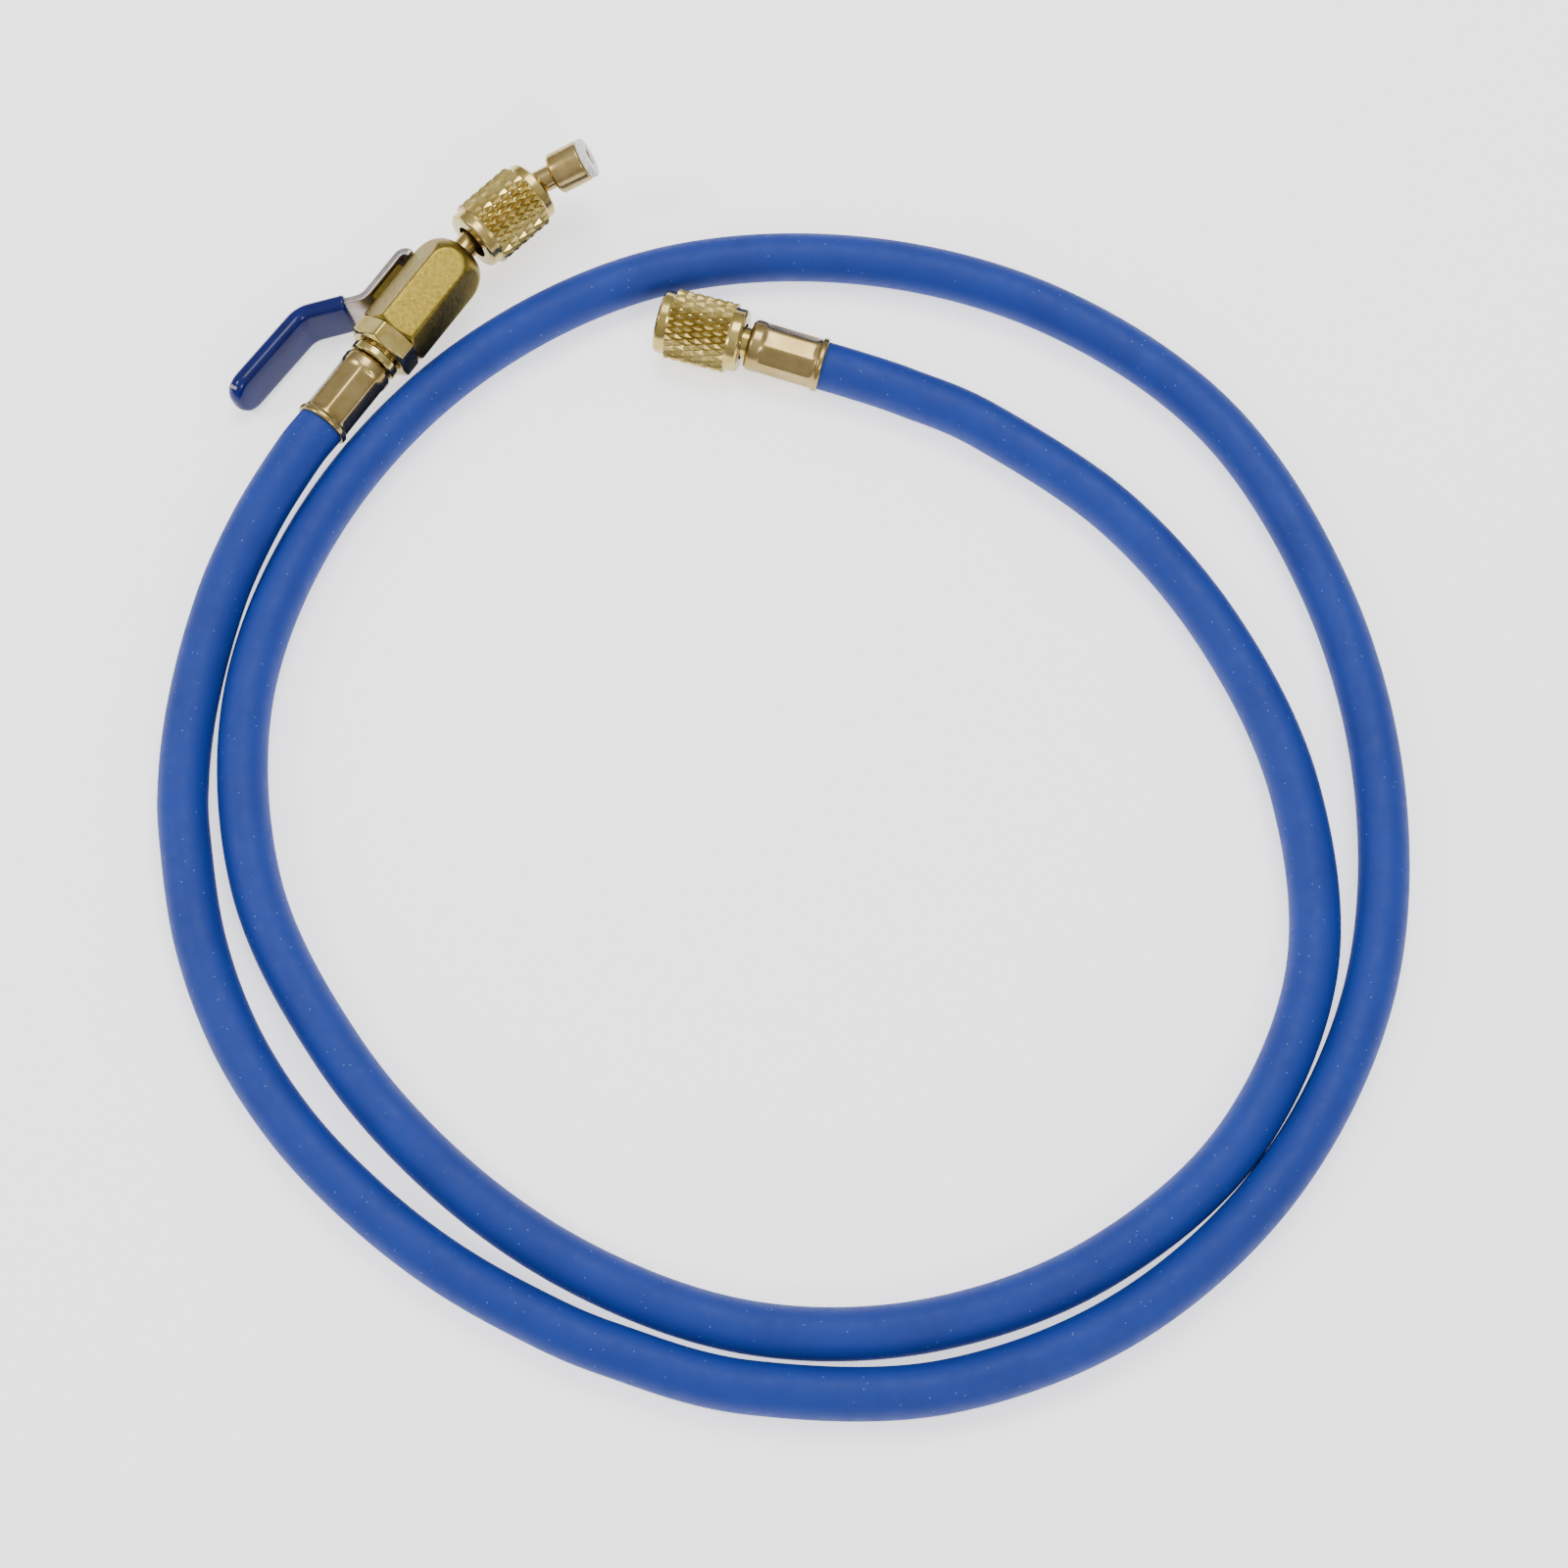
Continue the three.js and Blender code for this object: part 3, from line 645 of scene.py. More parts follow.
def closed_object(mesh: bpy.types.Mesh, name: str, smooth_below: float) -> bpy.types.Object:
    """Merges a mesh's doubles, turns its faces outwards, shades it and puts it in the scene.

    Args:
        mesh: the mesh.
        name: the object's name.
        smooth_below: edges that turn less than this many degrees are shaded smooth.

    Returns:
        The object.
    """
    work = bmesh.new()
    work.from_mesh(mesh)
    bmesh.ops.remove_doubles(work, verts=work.verts, dist=MERGE_DISTANCE)
    bmesh.ops.dissolve_degenerate(work, edges=work.edges, dist=SLIVER)
    bmesh.ops.recalc_face_normals(work, faces=work.faces)
    for face in work.faces:
        face.smooth = True
    for edge in work.edges:
        if len(edge.link_faces) == 2 and math.degrees(edge.calc_face_angle(0.0)) > smooth_below:
            edge.smooth = False
    work.to_mesh(mesh)
    work.free()
    return put_in_scene(name, mesh)


def plain_mesh(source: bpy.types.Object, name: str, smooth_below: float) -> bpy.types.Object:
    """Turns an object with live geometry nodes into a plain mesh object and removes the source.

    Args:
        source: the object with the modifier.
        name: the new object's name.
        smooth_below: as in closed_object.

    Returns:
        The plain object.
    """
    graph = bpy.context.evaluated_depsgraph_get()
    mesh = bpy.data.meshes.new_from_object(source.evaluated_get(graph), depsgraph=graph)
    source.modifiers.clear()
    bpy.data.objects.remove(source)
    made = closed_object(mesh, name, smooth_below)
    mesh.name = name
    return made


def round_angles(columns: int) -> list[float]:
    """Returns evenly spaced angles, once round."""
    return [2 * math.pi * i / columns for i in range(columns)]


def rounded_line(corners: list[Vector], radii: list[float], steps: int = 10) -> list[Vector]:
    """Rounds the corners of a line, each with its own radius.

    Args:
        corners: the line's ends and corners.
        radii: one for each inner corner.
        steps: how many stretches each bend has.

    Returns:
        The rounded line's points.
    """
    line = [corners[0]]
    for before, at, after, radius in zip(corners, corners[1:], corners[2:], radii):
        back, on = (before - at).normalized(), (after - at).normalized()
        half = back.angle(on) / 2
        reach = radius / math.tan(half)
        start, end = at + back * reach, at + on * reach
        centre = at + (back + on).normalized() * radius / math.sin(half)
        for i in range(steps + 1):
            spoke = (start - centre).lerp(end - centre, i / steps)
            line.append(centre + spoke.normalized() * radius)
    line.append(corners[-1])
    return line


def divided(line: list[Vector], longest: float) -> list[Vector]:
    """Divides a line's long stretches.

    Args:
        line: its points.
        longest: the longest stretch that is left.

    Returns:
        The finer line.
    """
    finer = [line[0]]
    for last, point in zip(line, line[1:]):
        parts = max(1, math.ceil((point - last).length / longest))
        finer.extend(last.lerp(point, (i + 1) / parts) for i in range(parts))
    return finer


def rounded_section(width: float, thickness: float, corner: float, steps: int = 5) -> Outline:
    """Gives a rectangle with round corners, anticlockwise.

    Args:
        width: its size across.
        thickness: its size through.
        corner: its corners' radius.
        steps: how many stretches each corner has.

    Returns:
        The section's (across, through) points.
    """
    corner = min(corner, width / 2, thickness / 2)
    across, through = width / 2 - corner, thickness / 2 - corner
    points = []
    for quarter, (sx, sy) in enumerate(((1, 1), (-1, 1), (-1, -1), (1, -1))):
        for i in range(steps + 1):
            angle = math.pi / 2 * (quarter + i / steps)
            points.append((sx * across + corner * math.cos(angle), sy * through + corner * math.sin(angle)))
    return points


def new_tree(name: str, inputs: dict[str, str], output: str) -> tuple[Tree, bpy.types.bpy_prop_collection]:
    """Makes a geometry node tree with its inputs and its one output.

    Args:
        name: the tree's name.
        inputs: each input's name and its kind of socket, such as "Float".
        output: the output's name.

    Returns:
        The tree, and the sockets that give its inputs.
    """
    tree = bpy.data.node_groups.new(name, "GeometryNodeTree")
    for label, kind in inputs.items():
        tree.interface.new_socket(name=label, in_out="INPUT", socket_type="NodeSocket" + kind)
    tree.interface.new_socket(name=output, in_out="OUTPUT", socket_type="NodeSocketGeometry")
    return tree, add_node(tree, "NodeGroupInput").outputs


def set_inputs(modifier: bpy.types.Modifier, tree: Tree, values: dict[str, object]) -> None:
    """Gives a geometry nodes modifier its tree and its values, by the sockets' identifiers.

    Args:
        modifier: the modifier.
        tree: its tree.
        values: each input's name and value.
    """
    modifier.node_group = tree
    for item in tree.interface.items_tree:
        if item.item_type == "SOCKET" and item.in_out == "INPUT" and item.name in values:
            modifier[item.identifier] = values[item.name]


class SubAssembly:
    """What every group of pieces does to make and dress them."""

    def turned(
        self, place: EndFrame, outline: Outline, angles: list[float], name: str, smooth_below: float,
        rule: RadiusRule | None = None,
    ) -> bpy.types.Object:
        """Makes a piece that is one form turned about a frame's +Z axis.

        Args:
            place: the frame.
            outline: (z, radius) pairs.
            angles: the angles of its columns.
            name: the object's name.
            smooth_below: edges that turn less than this many degrees are shaded smooth.
            rule: changes the radius from the height, the radius and the angle.

        Returns:
            The object.
        """
        draft = MeshDraft(place)
        draft.add_turned(outline, angles, rule)
        return draft.finish(name, smooth_below)
    def dress(
        self, piece: bpy.types.Object, material: bpy.types.Material, slot: Slot, body: Body, node: str
    ) -> bpy.types.Object:
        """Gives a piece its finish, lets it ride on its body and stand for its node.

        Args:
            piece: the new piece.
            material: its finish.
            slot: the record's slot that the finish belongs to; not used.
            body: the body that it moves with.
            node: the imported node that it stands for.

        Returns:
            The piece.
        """
        piece.data.materials.clear()
        piece.data.materials.append(material)
        for polygon in piece.data.polygons:
            polygon.material_index = 0
        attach(piece, body.value)
        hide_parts(node)
        LOG.info("%s: %d faces, %s", piece.name, len(piece.data.polygons), material.name)
        return piece

    def refinish(self, node: str, material: bpy.types.Material) -> None:
        """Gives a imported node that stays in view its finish.

        Args:
            node: the node's name.
            material: its finish.
        """
        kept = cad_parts[node]
        kept.data.materials.clear()
        kept.data.materials.append(material)
        LOG.info("%s: packed node, %s", node, material.name)


@dataclass
class Hose(SubAssembly):
    """The blue rubber hose: one smooth tube along its route on the floor."""

    finishes: Finishes
    valve_frame: EndFrame
    straight_frame: EndFrame
    diameter: float = 11.0
    floor_gap: float = 0.05
    straight: float = 7.5
    gap: float = 0.3
    into_ferrule: float = 0.1
    sample: float = 2.0
    sides: int = 36
    steps_per_knot: int = 40
    length: float = 1420.0
    route: tuple[tuple[float, ...], ...] = (
        (-115.2, 62.9, 10.4), (-121.3, 49.0, 9.0), (-124.9, 37.3, 7.9), (-127.5, 25.4, 6.9),
        (-129.2, 13.3, 6.1), (-129.7, 1.0, 5.7), (-128.8, -11.2), (-124.1, -35.0), (-115.3, -56.8),
        (-102.6, -75.8), (-87.3, -91.5), (-70.8, -104.4), (-53.3, -114.5), (-35.2, -122.4), (-6.8, -130.1),
        (33.0, -129.9), (71.6, -114.9), (103.5, -85.7), (123.9, -45.5), (128.5, 0.4), (119.3, 46.1),
        (96.7, 87.6), (59.3, 115.7), (14.9, 127.9), (-30.8, 123.9), (-71.2, 101.6), (-101.0, 66.2),
        (-116.5, 22.7), (-113.0, -22.0), (-94.0, -59.1), (-68.7, -87.1), (-39.2, -106.9), (-5.8, -118.1),
        (29.9, -117.4), (64.8, -104.6), (94.7, -79.1), (111.7, -42.0), (110.2, -1.3), (96.1, 34.6),
        (74.2, 63.9), (45.8, 85.3), (28.0, 93.9),
    )

    def centreline(self) -> list[Vector]:
        """Follows the route as one smooth curve.

        Returns:
            Points along it, evenly spaced, in millimetres in the model's frame.
        """
        height = self.diameter / 2 + self.floor_gap
        far = self.gap + self.straight
        knots = [self.valve_frame.point(0, 0, -self.gap), self.valve_frame.point(0, 0, -far)]
        knots += [Vector((p[0], p[1], p[2] if len(p) > 2 else height)) + Vector(SHIFT) for p in self.route]
        knots += [self.straight_frame.point(0, 0, -far), self.straight_frame.point(0, 0, -self.gap)]
        padded = [knots[0] * 2 - knots[1], *knots, knots[-1] * 2 - knots[-2]]
        dense = []
        for before, start, end, after in zip(padded, padded[1:], padded[2:], padded[3:]):
            leave, arrive = (end - before) * 0.5, (after - start) * 0.5
            for i in range(self.steps_per_knot):
                t = i / self.steps_per_knot
                rise = 3 * t * t - 2 * t**3
                bend = leave * (t - 2 * t * t + t**3) + arrive * (t**3 - t * t)
                dense.append(start + (end - start) * rise + bend)
        dense.append(knots[-1])
        places = np.array(dense)
        run = np.concatenate([[0.0], np.cumsum(np.linalg.norm(np.diff(places, axis=0), axis=1))])
        even = np.linspace(0.0, run[-1], int(run[-1] / self.sample) + 1)
        line = [Vector(p) for p in np.stack([np.interp(even, run, places[:, k]) for k in range(3)], axis=1)]
        LOG.info("hose centreline %.1f mm from ferrule to ferrule", run[-1])
        ends = [end.point(0, 0, self.into_ferrule) for end in (self.valve_frame, self.straight_frame)]
        return [ends[0], *line, ends[1]]

    def tube_tree(self) -> Tree:
        """Makes the tree that gives a line its round section.

        Returns:
            The geometry node tree, with its sizes as named inputs.
        """
        kinds = {"Line": "Geometry", "Radius": "Float", "Sides": "Int", "Cover": "Material"}
        tree, given = new_tree("hose_tube", kinds, "Tube")
        curve = add_node(tree, "GeometryNodeMeshToCurve", {"Mesh": given["Line"]}).outputs[0]
        size = {"Resolution": given["Sides"], "Radius": given["Radius"]}
        circle = add_node(tree, "GeometryNodeCurvePrimitiveCircle", size).outputs[0]
        parts = {"Curve": curve, "Profile Curve": circle, "Fill Caps": True}
        tube = add_node(tree, "GeometryNodeCurveToMesh", parts).outputs[0]
        real = add_node(tree, "GeometryNodeRealizeInstances", {"Geometry": tube}).outputs[0]
        covered = add_node(tree, "GeometryNodeSetMaterial", {"Geometry": real, "Material": given["Cover"]})
        add_node(tree, "NodeGroupOutput", {0: covered.outputs[0]})
        return tree

    def build(self) -> None:
        line = self.centreline()
        places = [p * METRES_PER_MM for p in line]
        mesh = bpy.data.meshes.new("hose_line")
        mesh.from_pydata([tuple(p) for p in places], [(i, i + 1) for i in range(len(places) - 1)], [])
        source = put_in_scene("hose_line", mesh)
        radius = self.diameter / 2 * METRES_PER_MM
        values = {"Radius": radius, "Sides": self.sides, "Cover": self.finishes.rubber}
        set_inputs(source.modifiers.new("tube", "NODES"), self.tube_tree(), values)
        tube = plain_mesh(source, "rubber_hose", 40.0)
        self.dress(tube, self.finishes.rubber, Slot.RUBBER, Body.FITTINGS, "hose")


@dataclass
class Ferrule(SubAssembly):
    """A crimped brass shell over one end of the hose."""

    finishes: Finishes
    place: EndFrame
    length: float
    node: str
    rim: float = 12.5
    flats: float = 11.0
    corners: float = 11.6
    neck: float = 11.8
    end: float = 10.4
    crimps: int = 8
    rim_length: float = 1.6
    ramp: float = 0.8
    neck_length: float = 3.6
    swell_rise: float = 0.9
    bore: float = 5.6
    edge: float = 0.4
    press_depth: float = 0.15  # how far the die's flats go below the nominal size
    press_fade: float = 1.4

    def build(self) -> None:
        """Builds and dresses the shell."""
        rim, corner, neck, end = self.rim / 2, self.corners / 2, self.neck / 2, self.end / 2
        high = self.length - self.neck_length
        outline = eased(
            [
                (0, self.bore / 2), (0, rim - self.edge / 2), (self.edge, rim),
                (self.rim_length - self.edge, rim),
                (self.rim_length, corner), (self.rim_length + self.ramp, corner), (high, corner),
                (high + self.swell_rise, neck), (self.length - self.swell_rise, neck),
                (self.length - self.edge, (neck + end) / 2), (self.length, end), (self.length, self.bore / 2),
            ],
            0.35,
            longest=0.6,
        )
        outline.append((0, self.bore / 2))
        press = BarSection(
            self.flats - self.press_depth, self.crimps, self.rim_length, high + self.swell_rise,
            fade=self.press_fade, sharpness=60,
        )
        name = "crimped_shell_" + self.node.removeprefix("ferrule_")
        shell = self.turned(self.place, outline, press.angles(14), name, 28.0, press.radius)
        self.dress(shell, self.finishes.crimped, Slot.FERRULE, Body.FITTINGS, self.node)


@dataclass
class KnurledNut(SubAssembly):
    """A loose knurled nut with a flare thread inside. Its frame starts at the wall with the tube's hole."""

    finishes: Finishes
    place: EndFrame
    body: Body
    node: str
    diameter: float = 16.0
    shoulder: float = 14.3
    length: float = 19.5
    shoulder_length: float = 2.3
    thread_bore: float = 11.0
    wall: float = 3.0
    chamfer: float = 0.5
    hole: float = 8.4
    thread_pitch: float = 1.27
    thread_depth: float = 0.35
    teeth_round: int = 30
    teeth_rows: int = 7
    tooth_height: float = 0.62
    tooth_tip: float = 0.2
    tooth_root: float = 0.02  # how far the core lies below the teeth's feet
    thread_start: float = 0.6  # the plain bore between the wall and the thread
    turn_steps: int = 6  # bore rings in one turn of the thread

    def thread(self, z: float, radius: float, angle: float) -> float:
        """Cuts the thread into the bore.

        Args:
            z: the height along the nut.
            radius: the plain radius there.
            angle: the angle about the axis.

        Returns:
            The radius with the thread.
        """
        threaded = self.wall + self.thread_start < z < self.length - self.chamfer
        if abs(radius - self.thread_bore / 2) > 0.01 or not threaded:
            return radius
        phase = (z / self.thread_pitch - angle / (2 * math.pi)) % 1.0
        return radius - self.thread_depth * (1 - abs(2 * phase - 1))

    def core(self) -> bpy.types.Object:
        """Builds the nut without its knurl, in its own frame at the origin.

        Returns:
            The object.
        """
        shoulder = self.shoulder / 2
        root = self.diameter / 2 - self.tooth_height - self.tooth_root
        high = self.length - self.shoulder_length
        outside = eased(
            [
                (0, self.hole / 2), (0, shoulder - self.chamfer), (self.chamfer, shoulder),
                (self.shoulder_length, shoulder), (self.shoulder_length + self.chamfer, root),
                (high - self.chamfer, root), (high, shoulder), (self.length - self.chamfer, shoulder),
                (self.length, shoulder - self.chamfer), (self.length, self.thread_bore / 2 + self.chamfer),
                (self.length - self.chamfer, self.thread_bore / 2),
            ],
            0.12,
        )
        mouth = self.length - self.chamfer
        steps = round((mouth - self.wall) / (self.thread_pitch / self.turn_steps))
        rings = [mouth - (mouth - self.wall) * i / steps for i in range(1, steps + 1)]
        bore = [(z, self.thread_bore / 2) for z in rings]
        outline = [*outside, *bore, (self.wall, self.hole / 2), (0, self.hole / 2)]
        home = EndFrame(*(Vector(v) for v in ((0, 0, 0), (1, 0, 0), (0, 1, 0), (0, 0, 1))))
        return self.turned(home, outline, round_angles(72), self.node + "_core", 35.0, self.thread)

    def knurl_tree(self) -> Tree:
        """Makes the tree that sets diamond teeth round a nut's core.

        Returns:
            The geometry node tree, with its sizes as named inputs.
        """
        kinds = {"Core": "Geometry", "Teeth round": "Int", "Rows": "Int"}
        kinds |= dict.fromkeys(("Root radius", "Tooth height", "Tip share", "Start", "End"), "Float")
        tree, given = new_tree("diamond_knurl", {**kinds, "Brass": "Material"}, "Nut")

        def make(kind: str, inputs: dict | None = None) -> Socket:
            """Adds a node and returns its first output."""
            return add_node(tree, kind, inputs).outputs[0]

        def calc(operation: str, first: object, second: object = 0.0) -> Socket:
            """Adds one calculation with two values and returns its result."""
            return add_node(tree, "ShaderNodeMath", {0: first, 1: second}, operation=operation).outputs[0]

        def vector(x: object = 0.0, y: object = 0.0, z: object = 0.0) -> Socket:
            """Joins three values to a vector."""
            return make("ShaderNodeCombineXYZ", {"X": x, "Y": y, "Z": z})

        round_count, radius = given["Teeth round"], given["Root radius"]
        points = make("GeometryNodePoints", {"Count": calc("MULTIPLY", round_count, given["Rows"])})
        index = make("GeometryNodeInputIndex")
        column = calc("MODULO", index, round_count)
        row = calc("FLOOR", calc("DIVIDE", calc("ADD", index, 0.001), round_count))
        half = calc("MULTIPLY", calc("MODULO", row, 2.0), 0.5)
        angle = calc("DIVIDE", calc("MULTIPLY", calc("ADD", column, half), 2 * math.pi), round_count)
        span = calc("SUBTRACT", given["End"], given["Start"])
        pitch = calc("DIVIDE", span, calc("SUBTRACT", given["Rows"], 1.0))
        height = calc("ADD", given["Start"], calc("MULTIPLY", row, pitch))
        x, y = (calc("MULTIPLY", calc(wave, angle), radius) for wave in ("COSINE", "SINE"))
        placed = make("GeometryNodeSetPosition", {"Geometry": points, "Position": vector(x, y, height)})
        shape = {"Vertices": 4, "Radius Top": given["Tip share"], "Radius Bottom": 1.0, "Depth": 1.0}
        tooth = make("GeometryNodeMeshCone", shape)
        upright = make("GeometryNodeTransform", {"Geometry": tooth, "Rotation": (0, math.pi / 2, 0)})
        half_width = calc("DIVIDE", calc("MULTIPLY", radius, math.pi), round_count)
        size = vector(given["Tooth height"], half_width, pitch)
        sized = make("GeometryNodeTransform", {"Geometry": upright, "Scale": size})
        teeth = {"Points": placed, "Instance": sized, "Rotation": vector(z=angle)}
        real = make("GeometryNodeRealizeInstances", {"Geometry": make("GeometryNodeInstanceOnPoints", teeth)})
        apart = add_node(tree, "ShaderNodeSeparateXYZ", {0: make("GeometryNodeInputPosition")}).outputs
        kept = make("ShaderNodeClamp", {"Value": apart["Z"], "Min": given["Start"], "Max": given["End"]})
        place = vector(apart["X"], apart["Y"], kept)
        trimmed = make("GeometryNodeSetPosition", {"Geometry": real, "Position": place})
        whole = add_node(tree, "GeometryNodeJoinGeometry", {0: trimmed})
        tree.links.new(given["Core"], whole.inputs[0])
        last = make("GeometryNodeRealizeInstances", {"Geometry": whole.outputs[0]})
        dressed = make("GeometryNodeSetMaterial", {"Geometry": last, "Material": given["Brass"]})
        add_node(tree, "NodeGroupOutput", {0: dressed})
        return tree

    def build(self) -> None:
        """Builds the nut with its knurl, lays it in place and dresses it."""
        source = self.core()
        modifier = source.modifiers.new("knurl", "NODES")
        tree = bpy.data.node_groups.get("diamond_knurl") or self.knurl_tree()
        set_inputs(
            modifier,
            tree,
            {
                "Teeth round": self.teeth_round,
                "Rows": self.teeth_rows,
                "Root radius": (self.diameter / 2 - self.tooth_height) * METRES_PER_MM,
                "Tooth height": self.tooth_height * METRES_PER_MM,
                "Tip share": self.tooth_tip,
                "Start": (self.shoulder_length + self.chamfer) * METRES_PER_MM,
                "End": (self.length - self.shoulder_length - self.chamfer) * METRES_PER_MM,
                "Brass": self.finishes.machined,
            },
        )
        nut = plain_mesh(source, "nut_" + self.node.removeprefix("knurled_nut_"), 22.0)
        places = np.array([v.co for v in nut.data.vertices])
        moved = places @ self.place.matrix().T + np.array(self.place.origin) * METRES_PER_MM
        nut.data.vertices.foreach_set("co", moved.astype(np.float32).ravel())
        nut.data.update()
        self.dress(nut, self.finishes.machined, Slot.BRASS, self.body, self.node)


@dataclass
class BallValve(SubAssembly):
    """Adapter, valve body, ball, seats and stem, along the valve end's +Z axis."""

    finishes: Finishes
    place: EndFrame
    collar_start: float = 18.7
    collar: float = 11.7
    collar_length: float = 2.3
    groove: float = 9.6
    groove_length: float = 0.5
    adapter_flats: float = 14.2
    adapter_length: float = 4.6
    adapter_turn: float = 10.0
    adapter_chamfer: float = 0.9
    barb: float = 5.0
    body_gap: float = 0.3
    body_flats: float = 14.5
    body_length: float = 26.2
    body_chamfer: float = 0.9
    dome_length: float = 7.5
    dome_end: float = 7.6
    pivot: float = 36.8
    pad_length: float = 10.4
    pad_width: float = 8.2
    pad_top: float = 8.85
    pad_corner: float = 0.7
    pad_edge: float = 0.4
    stem_inside: float = 3.0  # how far the drawn stem reaches below the body's flat
    stem_neck: float = 3.0  # its diameter through the lever's hole
    stem: float = 4.4
    strip_top: float = 10.95
    rivet: float = 6.4
    rivet_top: float = 12.35
    edge: float = 0.4

    @property
    def adapter_end(self) -> float:
        """The adapter's end that meets the body."""
        return self.collar_start + self.collar_length + self.groove_length + self.adapter_length

    @property
    def body_start(self) -> float:
        """The body's end towards the hose."""
        return self.adapter_end + self.body_gap

    @property
    def body_end(self) -> float:
        """The dome's small end."""
        return self.body_start + self.body_length

    def build_adapter(self) -> None:
        """Builds the collar, the groove and the short hexagon."""
        collar_end = self.collar_start + self.collar_length
        hex_start = collar_end + self.groove_length
        corner = self.adapter_flats / 2 / math.cos(math.pi / 6)
        outline = eased(
            [
                (1, 0), (1, self.barb / 2), (self.collar_start, self.barb / 2),
                (self.collar_start, self.collar / 2 - self.edge),
                (self.collar_start + self.edge, self.collar / 2),
                (collar_end - self.edge, self.collar / 2), (collar_end, self.collar / 2 - self.edge),
                (collar_end, self.groove / 2), (hex_start, self.groove / 2),
                (hex_start, self.adapter_flats / 2 - self.edge), (hex_start + self.adapter_chamfer, corner),
                (self.adapter_end, corner), (self.body_start + 0.1, corner - 1.2), (self.body_start + 0.1, 0),
            ],
            0.15,
            longest=0.4,
        )
        bar = BarSection(self.adapter_flats, 6, hex_start, self.body_start + 1, turn=self.adapter_turn)
        adapter = self.turned(self.place, outline, bar.angles(20), "adapter", 30.0, bar.radius)
        self.dress(adapter, self.finishes.machined, Slot.BRASS, Body.FITTINGS, "hose_adapter")

    def build_body(self) -> None:
        """Builds the hexagon bar with its dome and the stem's pad."""
        corner = self.body_flats / 2 / math.cos(math.pi / 6)
        end = self.dome_end / 2
        steps = [math.pi / 2 * i / 12 for i in range(1, 13)]
        dome = [
            (self.body_end - self.dome_length * (1 - math.sin(a)), end + (corner - end) * math.cos(a))
            for a in steps
        ]
        outline = eased(
            [
                (self.body_start, 0), (self.body_start, self.body_flats / 2),
                (self.body_start + self.body_chamfer, corner), (self.body_end - self.dome_length, corner),
                *dome, (self.body_end, 0),
            ],
            0.2,
            longest=0.4,
        )
        bar = BarSection(self.body_flats, 6, self.body_start, self.body_end)
        draft = MeshDraft(self.place)
        draft.add_turned(outline, bar.angles(24), bar.radius)
        pad = rounded_section(self.pad_width, self.pad_length, self.pad_corner)
        low, high = self.body_flats / 2 - 1, self.pad_top
        levels = [(low, 0.0), (high - self.pad_edge, 0.0), (high - 0.12, 0.12), (high, self.pad_edge)]
        rings = []
        for x, inset in levels:
            scale_y, scale_z = 1 - 2 * inset / self.pad_width, 1 - 2 * inset / self.pad_length
            rings.append([(x, a * scale_y, self.pivot + b * scale_z) for a, b in pad])
        around = [float(i) for i in range(len(pad) + 1)]
        draft.add_rings(np.array(rings), [x for x, _ in levels], around, capped=True)
        body = draft.finish("valve_bar", 30.0)
        self.dress(body, self.finishes.bar, Slot.BRASS, Body.FITTINGS, "valve_body")

    def build_stem(self) -> None:
        """Builds the stem with its riveted end, and dresses the hidden ball and seats."""
        foot, neck = self.body_flats / 2 - self.stem_inside, self.stem_neck / 2
        outline = eased(
            [
                (foot, 0), (foot, self.stem / 2), (self.pad_top, self.stem / 2), (self.pad_top, neck),
                (self.strip_top + 0.05, neck), (self.strip_top + 0.05, self.rivet / 2),
                (self.rivet_top - 0.55, self.rivet / 2), (self.rivet_top - 0.15, self.rivet / 2 - 0.6),
                (self.rivet_top, self.rivet / 2 - 1.4), (self.rivet_top, 0.7), (self.rivet_top - 0.3, 0.3),
                (self.rivet_top - 0.3, 0),
            ],
            0.2,
        )
        across = self.place.along(Vector((0, 0, self.pivot)), Vector((1, 0, 0)))
        stem = self.turned(across, outline, round_angles(48), "riveted_stem", 30.0)
        self.dress(stem, self.finishes.machined, Slot.BRASS, Body.LEVER, "valve_stem")
        self.refinish("valve_ball", self.finishes.steel)
        for node in ("seat_hose_side", "seat_head_side"):
            self.refinish(node, self.finishes.seal)

    def build(self) -> None:
        """Builds the valve's pieces."""
        self.build_adapter()
        self.build_body()
        self.build_stem()


